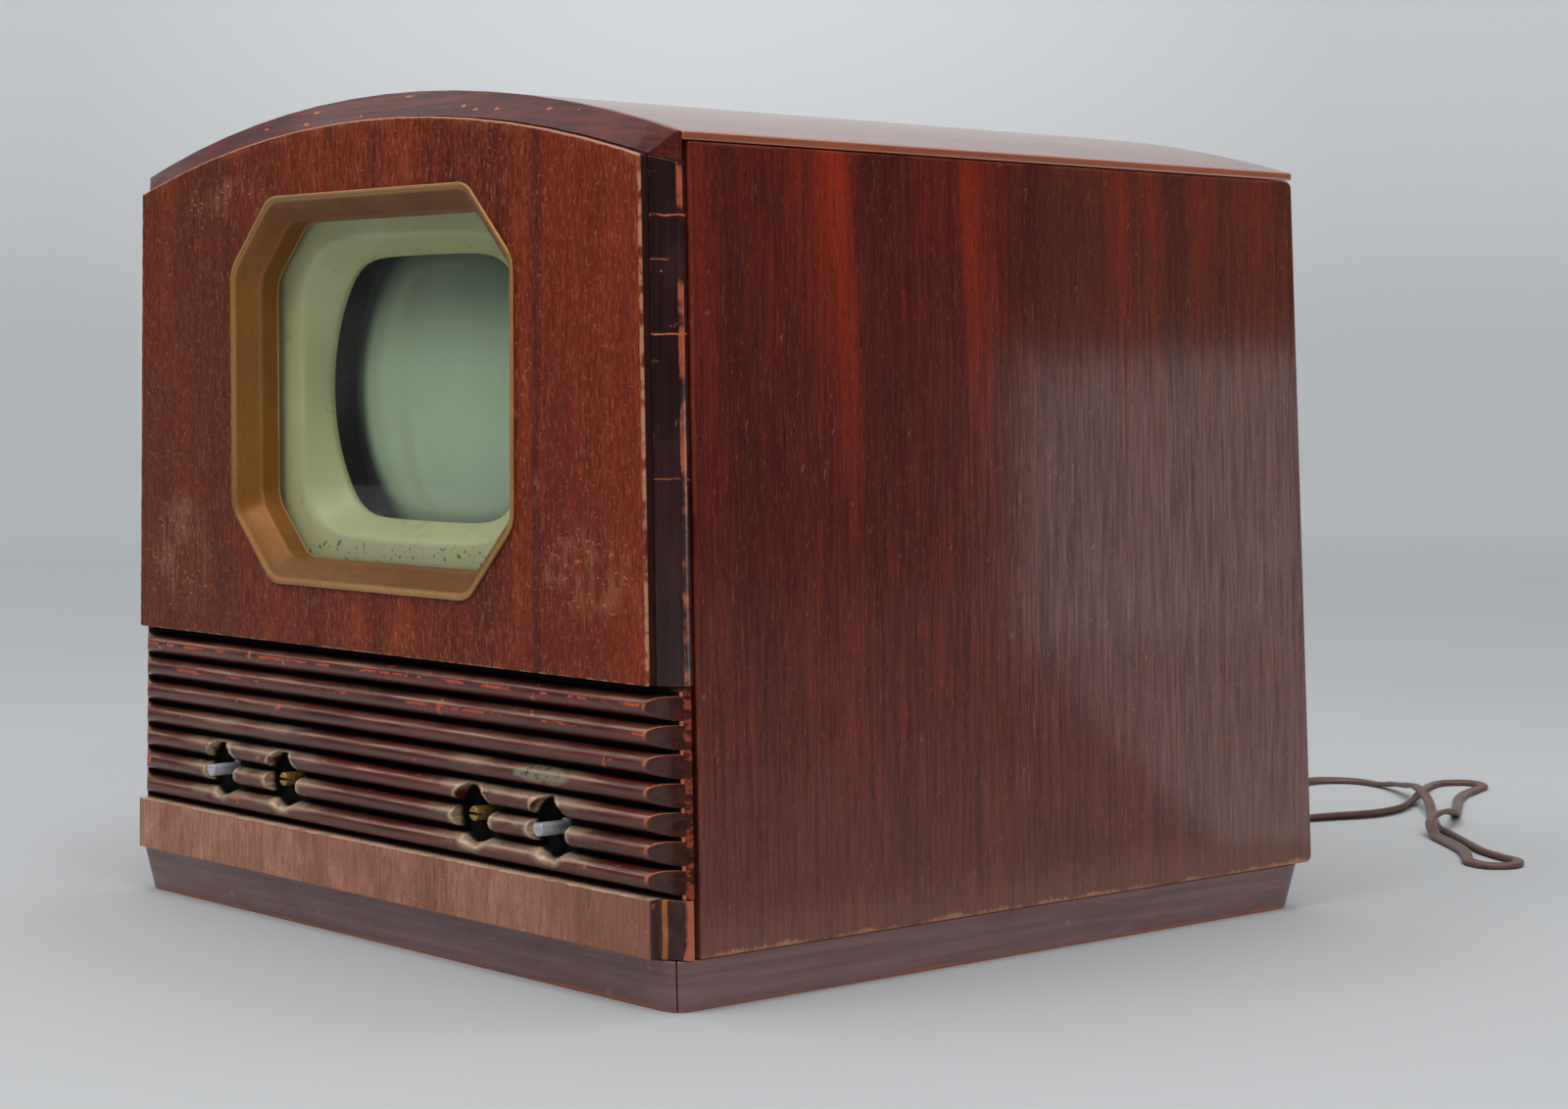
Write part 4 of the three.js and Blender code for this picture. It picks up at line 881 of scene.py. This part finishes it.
def coil_points():
    """Three turns and a quarter on edge: two side by side on the floor, the rest on top of them."""
    points = []
    for degrees in range(180, 1351, 15):
        a = math.radians(degrees)
        turn = (degrees - 180) / 360
        if turn <= 2:
            radius, z = 35.4 - 3.15 * max(0.0, turn - 0.1), 3.05
        else:
            rise = min(1.0, (turn - 2) / 0.22)
            rise = rise * rise * (3 - 2 * rise)
            radius, z = 29.4 + 5.6 * (turn - 2) / 1.25, 3.05 + 5.8 * rise
        points.append((COIL_X + radius * math.cos(a), COIL_Y + radius * math.sin(a), z))
    return points


def smooth_path(points, spacing, steps=16):
    """Centripetal Catmull-Rom through the points, resampled at an even spacing."""

    def between(a, b, start, end, t):
        return a * ((end - t) / (end - start)) + b * ((t - start) / (end - start))

    points = [Vector(p) for p in points]
    points = [points[0] * 2 - points[1]] + points + [points[-1] * 2 - points[-2]]
    dense = []
    for p0, p1, p2, p3 in zip(points, points[1:], points[2:], points[3:]):
        t0 = 0.0
        t1 = t0 + (p1 - p0).length ** 0.5
        t2 = t1 + (p2 - p1).length ** 0.5
        t3 = t2 + (p3 - p2).length ** 0.5
        for i in range(steps):
            t = t1 + (t2 - t1) * i / steps
            a1, a2 = between(p0, p1, t0, t1, t), between(p1, p2, t1, t2, t)
            a3 = between(p2, p3, t2, t3, t)
            b1, b2 = between(a1, a2, t0, t2, t), between(a2, a3, t1, t3, t)
            dense.append(between(b1, b2, t1, t2, t))
    dense.append(points[-2])
    even, due, walked = [dense[0]], spacing, 0.0
    for a, b in zip(dense, dense[1:]):
        step = (b - a).length
        while walked + step >= due:
            even.append(a.lerp(b, (due - walked) / step))
            due += spacing
        walked += step
    return even, walked


def twin_section():
    """The flat lead's outline as (across, up): two round cores joined by a web with a groove each side."""
    points = []
    core = CORD_T / 2
    for side in (1, -1):
        for i in range(11):
            a = math.radians(-128 + 25.6 * i) * side
            points.append((side * (core - 0.02 + core * math.cos(a)), core * math.sin(a)))
    return points


def lead_twist(s, length):
    """How far the lead is rolled about its own line: a slow wander, then on edge in the coil."""
    lean = 0.75 * noise.noise(Vector((s / 95, 3.1, 0.7)))
    lean += 0.9 * noise.noise(Vector((s / 210, 8.1, 1.9)))
    on_edge = min(1.0, max(0.0, (s - length + COIL_LENGTH) / 70)) * min(1.0, max(0.0, (length - s) / 24))
    return (lean * 1.3 * min(1.0, s / 60)) * (1 - on_edge) + math.pi / 2 * on_edge


def make_cord():
    path, length = smooth_path(LEAD_ROUTE + coil_points() + [LEAD_END], RING_STEP)
    section = twin_section()
    rings, centres = [], []
    for i, p in enumerate(path):
        forward = (path[min(i + 1, len(path) - 1)] - path[max(i - 1, 0)]).normalized()
        across = forward.cross(Vector((0, 0, 1))).normalized()
        up = across.cross(forward)
        s = i * RING_STEP
        twist = lead_twist(s, length)
        # a lead that lies flat is lower than its route, which is drawn at half its width
        height = CORD_T / 2 * (1 + abs(math.sin(twist)))
        drop = max(0.0, min(CORD_T - height, 3.0 + CORD_T - height - p.z))
        drop = drop if s < length - COIL_LENGTH else 0.0
        centre = Vector((p.x, p.y, max(p.z - drop, height + FLOOR_GAP)))
        centres.append(at(*centre))
        wide = across * math.cos(twist) + up * math.sin(twist)
        tall = up * math.cos(twist) - across * math.sin(twist)
        rings.append([at(*(centre + wide * a + tall * b)) for a, b in section])
    piece = new_object("mains_lead", loft(rings, cap_start=True, cap_end=True), CORD, 60)
    stand_for(piece, ["cord_tube", "cord_coil"])
    return piece, sum((b - a).length for a, b in zip(centres, centres[1:])), centres


lead, lead_length, lead_path = make_cord()
gland = softened("cord_gland", "lead_gland", CORD, 0.5)
plug = softened("cord_plug", "mains_plug", PHENOLIC, 0.8)

# -------- cabinet
softened("side_panel_left", "side_left", SIDE, 1.2)
softened("side_panel_right", "side_right", SIDE, 1.2)
softened("top_panel", "top_board", TOP, 0.8, angle=20)
softened("front_panel", "screen_panel", FRONT, 0.7)
softened("front_post_left", "bevel_post_left", POST, 0.35)
softened("front_post_right", "bevel_post_right", POST, 0.35)
softened("front_arch_rail", "bevel_arch", ARCH, 0.35, angle=20)


# -------- reeded board
def reed_depth(z):
    """y of the reeds' front at a height, in cabinet millimetres."""
    first = REED_BASE - REED_GROOVE / 2
    row = math.floor((z - first) / REED_PITCH)
    if row < 0 or row >= REEDS:
        return REED_ROOT
    t = (z - first - (row + 0.5) * REED_PITCH) / ((REED_PITCH - REED_GROOVE) / 2)
    if abs(t) >= 1:
        return REED_ROOT
    return REED_ROOT - (REED_ROOT - REED_CREST) * math.sqrt(1 - abs(t) ** 2.4)


def board_depth(x, z):
    """y of the board's front: reeds, cut by the side bevels and by the four wells."""
    y = reed_depth(z)
    wander = noise.noise(Vector((x / 23, z / 4.0, 1.0)))
    on_crest = max(0.0, 1 - (y - REED_CREST) / 1.2)
    y += 0.16 * on_crest * max(0.0, wander - 0.15)
    bevel = BEVEL_END - (half_width(z) - abs(x)) * (BEVEL_END - BEVEL_START) / BEVEL_W
    y = max(y, bevel)
    for centre in (-OUTER_SHAFT_X, -INNER_SHAFT_X, INNER_SHAFT_X, OUTER_SHAFT_X):
        dx, dz = x - centre, z - SHAFT_Z
        r = math.hypot(dx, dz)
        if r < 26:
            ragged = noise.noise(Vector((x / 5.5, z / 5.5, centre)))
            edge = WELL_R + 0.5 + 0.7 * ragged
            if r < edge:
                y = max(y, REED_ROOT + 1.0 - 0.25 * max(0.0, r - edge + 1.2))
            elif dz < 0:
                scoop = max(0.0, 1 - (r - edge) / (5.5 + 3.0 * ragged))
                y += 2.6 * scoop * scoop * max(0.0, -dz / r)
            if r < 5.5:
                y = REED_ROOT + 4.0
    if abs(x) < SLOT_HALF and y > REED_ROOT - 0.4:
        row = (z - REED_BASE + REED_GROOVE / 2) / REED_PITCH
        if 1.5 < row < REEDS - 0.5:
            y = FRONT_BACK - 0.05
    return y


def make_reeds():
    columns = []
    x = 0.0
    while x < BODY_HALF - 19:
        near = min(abs(x - INNER_SHAFT_X), abs(x - OUTER_SHAFT_X))
        columns.append(x)
        x += 0.6 if near < 17 else 1.5
    columns = [-c for c in columns[:0:-1]] + columns
    levels = [RAIL_TOP + 0.3]
    for row in range(REEDS):
        z0 = REED_BASE + row * REED_PITCH
        span = REED_PITCH - REED_GROOVE
        levels += [z0 - 0.02]
        levels += [z0 + span * (1 - math.cos(math.pi * i / 18)) / 2 for i in range(19)]
        levels += [z0 + span + 0.02]
    levels += [GRILLE_TOP - 1.2, GRILLE_TOP]
    rings = []
    for z in levels:
        half = half_width(z)
        side = [columns[-1] + (half - columns[-1]) * (i / 30) for i in range(1, 31)]
        xs = [-v for v in side[::-1]] + columns + side
        ring = [at(v, board_depth(v, z), z) for v in xs]
        back = [(half, FRAME_BACK), (half - GROOVE_W, FRAME_BACK + 0.01), (half - GROOVE_W, FRONT_BACK)]
        ring += [at(v, y, z) for v, y in back] + [at(-v, y, z) for v, y in back[::-1]]
        rings.append(ring)
    piece = new_object("reeded_board", loft(rings, cap_start=True, cap_end=True), REED, 32)
    stand_for(piece, ["reed_grille"])


make_reeds()
softened("front_lower_rail", "lower_rail", RAIL, 0.6)
for side in ("front", "left", "right", "back"):
    softened(f"plinth_{side}", f"plinth_board_{side}", PLINTH, 0.6)


# -------- screen surround
def octagon_ring(grow, y, radius=6.0, steps=7):
    """The bezel's octagon, grown outwards, with round corners that keep their centres."""
    w, h = OCT_W + grow, OCT_H + grow
    c = OCT_CUT + grow * (2 - math.sqrt(2))
    corners = [(w, -h + c), (w, h - c), (w - c, h), (-w + c, h)]
    corners += [(-w, h - c), (-w, -h + c), (-w + c, -h), (w - c, -h)]
    ring = []
    for i, here in enumerate(corners):
        here = Vector(here)
        before = (Vector(corners[i - 1]) - here).normalized() * radius
        after = (Vector(corners[(i + 1) % 8]) - here).normalized() * radius
        for k in range(steps + 1):
            f = k / steps
            p = (here + before) * (1 - f) ** 2 + here * 2 * f * (1 - f) + (here + after) * f * f
            ring.append(at(p.x, y, p.y + SCREEN_Z))
    return ring


# The bezel's section: how far outside its opening, and y, in millimetres.
BEZEL = [
    (11.15, -0.32), (11.2, -0.9), (11.0, -1.28), (10.6, -1.48), (10.1, -1.5), (9.75, -1.38), (9.5, -1.05),
    (9.2, -0.85), (8.6, -0.5), (4.6, 3.15), (0.9, 6.55), (0.35, 7.15), (0.08, 7.75), (0.0, 8.4),
    (0.0, 12.6), (0.0, 17.0), (8.9, 17.0), (9.1, 16.8), (9.1, -0.25), (11.0, -0.3),
]


def make_bezel():
    bm = frame_skin([octagon_ring(grow, y) for grow, y in BEZEL])
    stand_for(new_object("screen_bezel", bm, BRONZE, 45), ["bezel"])


def round_ring(y, radius, count):
    """A ring about the tube's axis, with a radius for every angle."""
    angles = [2 * math.pi * i / count for i in range(count)]
    return [at(radius(a) * math.cos(a), y, MASK_Z + radius(a) * math.sin(a)) for a in angles]


def make_mask():
    """A flat surround, a soft rim round the window, and a bowl down to the tube's face."""

    def window(a):
        return (77.0**-14 + (abs(math.sin(a)) / 57.5) ** 14) ** (-1 / 14)

    def rim(a):
        return ((abs(math.cos(a)) / 80) ** 5 + (abs(math.sin(a)) / 64.5) ** 5) ** -0.2

    def outside(a):
        w, h = OCT_W + 10.0, OCT_H + 9.0
        run, rise = max(1e-6, abs(math.cos(a))), max(1e-6, abs(math.sin(a)))
        return min(w / run, h / rise, (w + h - OCT_CUT - 6) / (abs(math.cos(a)) + abs(math.sin(a))))

    def grown(edge, more):
        return lambda a: edge(a) + more

    def between(f):
        return lambda a: rim(a) * (1 - f) + window(a) * f

    profile = [
        (35.9, outside), (20.65, outside), (20.62, grown(rim, 3.4)), (20.9, grown(rim, 1.7)),
        (21.6, grown(rim, 0.5)), (22.7, between(0.06)), (25.0, between(0.25)), (28.0, between(0.56)),
        (31.0, between(0.84)), (32.6, between(0.97)), (33.3, window), (34.3, window),
        (35.9, grown(window, 0.5)),
    ]
    bm = frame_skin([round_ring(y, radius, 224) for y, radius in profile])
    stand_for(new_object("screen_mask", bm, MASK, 50), ["picture_mask"])


def make_tube():
    """The tube's envelope: a shallow spherical face, a rounded shoulder and the cone behind it."""
    profile = [(38.0 + r * r / 620.0, r) for r in range(4, 77, 4)]
    y0 = profile[-1][0]
    profile += [(y0 + 0.9, 79.0), (y0 + 2.2, 82.5), (y0 + 4.4, 85.8), (y0 + 7.6, 88.2), (y0 + 11.0, 89.0)]
    profile += [(74.0, 89.0), (84.0, 84.0), (114.0, 70.0), (160.0, 48.0), (196.0, 32.0), (220.0, 25.5)]
    profile += [(362.0, 25.5)]
    rings = [round_ring(y, lambda a: r, 96) for y, r in profile]
    bm = loft(rings, cap_start=True, cap_end=True)
    stand_for(new_object("picture_tube_glass", bm, TUBE, 40), ["picture_tube"])


make_bezel()
make_mask()
make_tube()
softened("safety_glass", "screen_glass", GLASS, 0.2)
softened("back_cover", "rear_cover", BOARD, 0.3)
softened("neck_cup", "rear_cup", PHENOLIC, 0.6)
softened("antenna_strip", "aerial_strip", PHENOLIC, 0.4)
for number in range(1, 5):
    softened(f"back_screw_{number}", f"cover_screw_{number}", STEEL, 0.3)
for control, material in (("volume", ZINC), ("contrast", BRASS), ("brightness", BRASS), ("channel", ZINC)):
    slot = "bright_steel" if material is ZINC else "brass"
    softened(f"{control}_shaft", f"{control}_spindle_rod", material, 0.15, body=f"{control}_spindle")


# -------- studio
STAGE = [
    (0.02, 0.0), (1.0, 0.0), (2.5, 0.0), (4.2, 0.0), (4.8, 0.06), (5.3, 0.3), (5.6, 0.8), (5.7, 1.6),
    (5.7, 3.2),
]
SWEEP_HALF, SWEEP_FADE = 0.75, 0.35  # how far round the backdrop is full height, and ends, in radians
GLOW_FAR, GLOW_HIGH = 0.245, 0.27


def make_stage():
    """A round floor that sweeps up into a backdrop on the far side from the camera."""
    facing = math.atan2(math.cos(CAMERA_YAW), -math.sin(CAMERA_YAW))
    turns = [2 * math.pi * i / 72 for i in range(72)]
    rises = []
    for a in turns:
        away = abs((a - facing + math.pi) % (2 * math.pi) - math.pi)
        rises.append(1.0 if away < SWEEP_HALF else max(0.0, 1 - (away - SWEEP_HALF) / SWEEP_FADE))
    around = [(math.cos(a), math.sin(a), rise) for a, rise in zip(turns, rises)]
    rings = [[(r * u, r * v, z * rise) for u, v, rise in around] for r, z in STAGE]
    t = Tree("studio_paper")
    x, y, z = t.split()
    t.colour = t.shade(t.noise(1.5), (180, 182, 184), (186, 188, 190))
    # painted light: the paper glows, brightest high up and towards the left of the view, as if lit from
    # above its foot; the floor glows more the farther it lies
    far = t.step(t.length(x, y), 0.9, 4.6, 0.0, GLOW_FAR)
    high = t.step(z, 0.02, 1.15, 0.0, GLOW_HIGH)
    across = t.add(t.mul(x, 0.664), t.mul(y, 0.745))
    falloff = t.math("POWER", t.abs(t.add(across, 0.15)), 1.6)
    middle = t.most(t.sub(1.0, t.mul(falloff, 0.30)), 0.5)
    paper = t.finish(
        roughness=0.75, specular_ior_level=0.2, emission_color=(0.96, 0.985, 1.0),
        emission_strength=t.add(far, t.mul(high, middle)),
        normal=t.bump(t.noise(900, detail=2), 0.0001, 0.15),
    )
    new_object("studio_floor", loft(rings, cap_start=True), paper, 60)


def area_light(name, place, target, size, power):
    data = bpy.data.lights.new(name, "AREA")
    data.shape = "RECTANGLE"
    data.size, data.size_y = size
    data.energy = power
    lamp = bpy.data.objects.new(name, data)
    lamp.location = place
    lamp.visible_camera = False
    lamp.rotation_euler = (Vector(target) - Vector(place)).to_track_quat("-Z", "Y").to_euler()
    bpy.context.collection.objects.link(lamp)


make_stage()
area_light("overhead", (0.15, 0.1, 3.0), (0, 0, 0), (3.6, 3.6), 92)
area_light("front_top", (-0.2, -2.0, 2.7), (0, 0, 0.2), (2.0, 1.2), 30)
area_light("left_top", (-2.3, -1.3, 2.0), (0, 0, 0.2), (1.6, 1.2), 8)
area_light("side_fill", (2.5, -0.7, 1.5), (0, 0, 0.2), (1.6, 1.4), 22)
# low white cards to the right and behind: the right side's lacquer mirrors them
ASIDE, BACKWARDS = Vector((0.745, 0.667, 0)), Vector((-0.667, 0.745, 0))
CARD = ASIDE * 2.0 + BACKWARDS * 0.15 + Vector((0, 0, 0.187))
area_light("card", CARD, (0.1, 0.05, 0.187), (0.32, 0.29), 0.53)
LOW_CARD = ASIDE * 1.25 + BACKWARDS * 0.15 + Vector((0, 0, 0.022))
area_light("low_card", LOW_CARD, LOW_CARD + Vector((-0.0205, -0.0183, 1.0)), (0.32, 1.45), 1.5)
world = bpy.data.worlds.new("studio")
world.use_nodes = True
sky = world.node_tree.nodes["Background"].inputs
sky["Color"].default_value, sky["Strength"].default_value = (0.86, 0.93, 1.0, 1), 0.09
bpy.context.scene.world = world
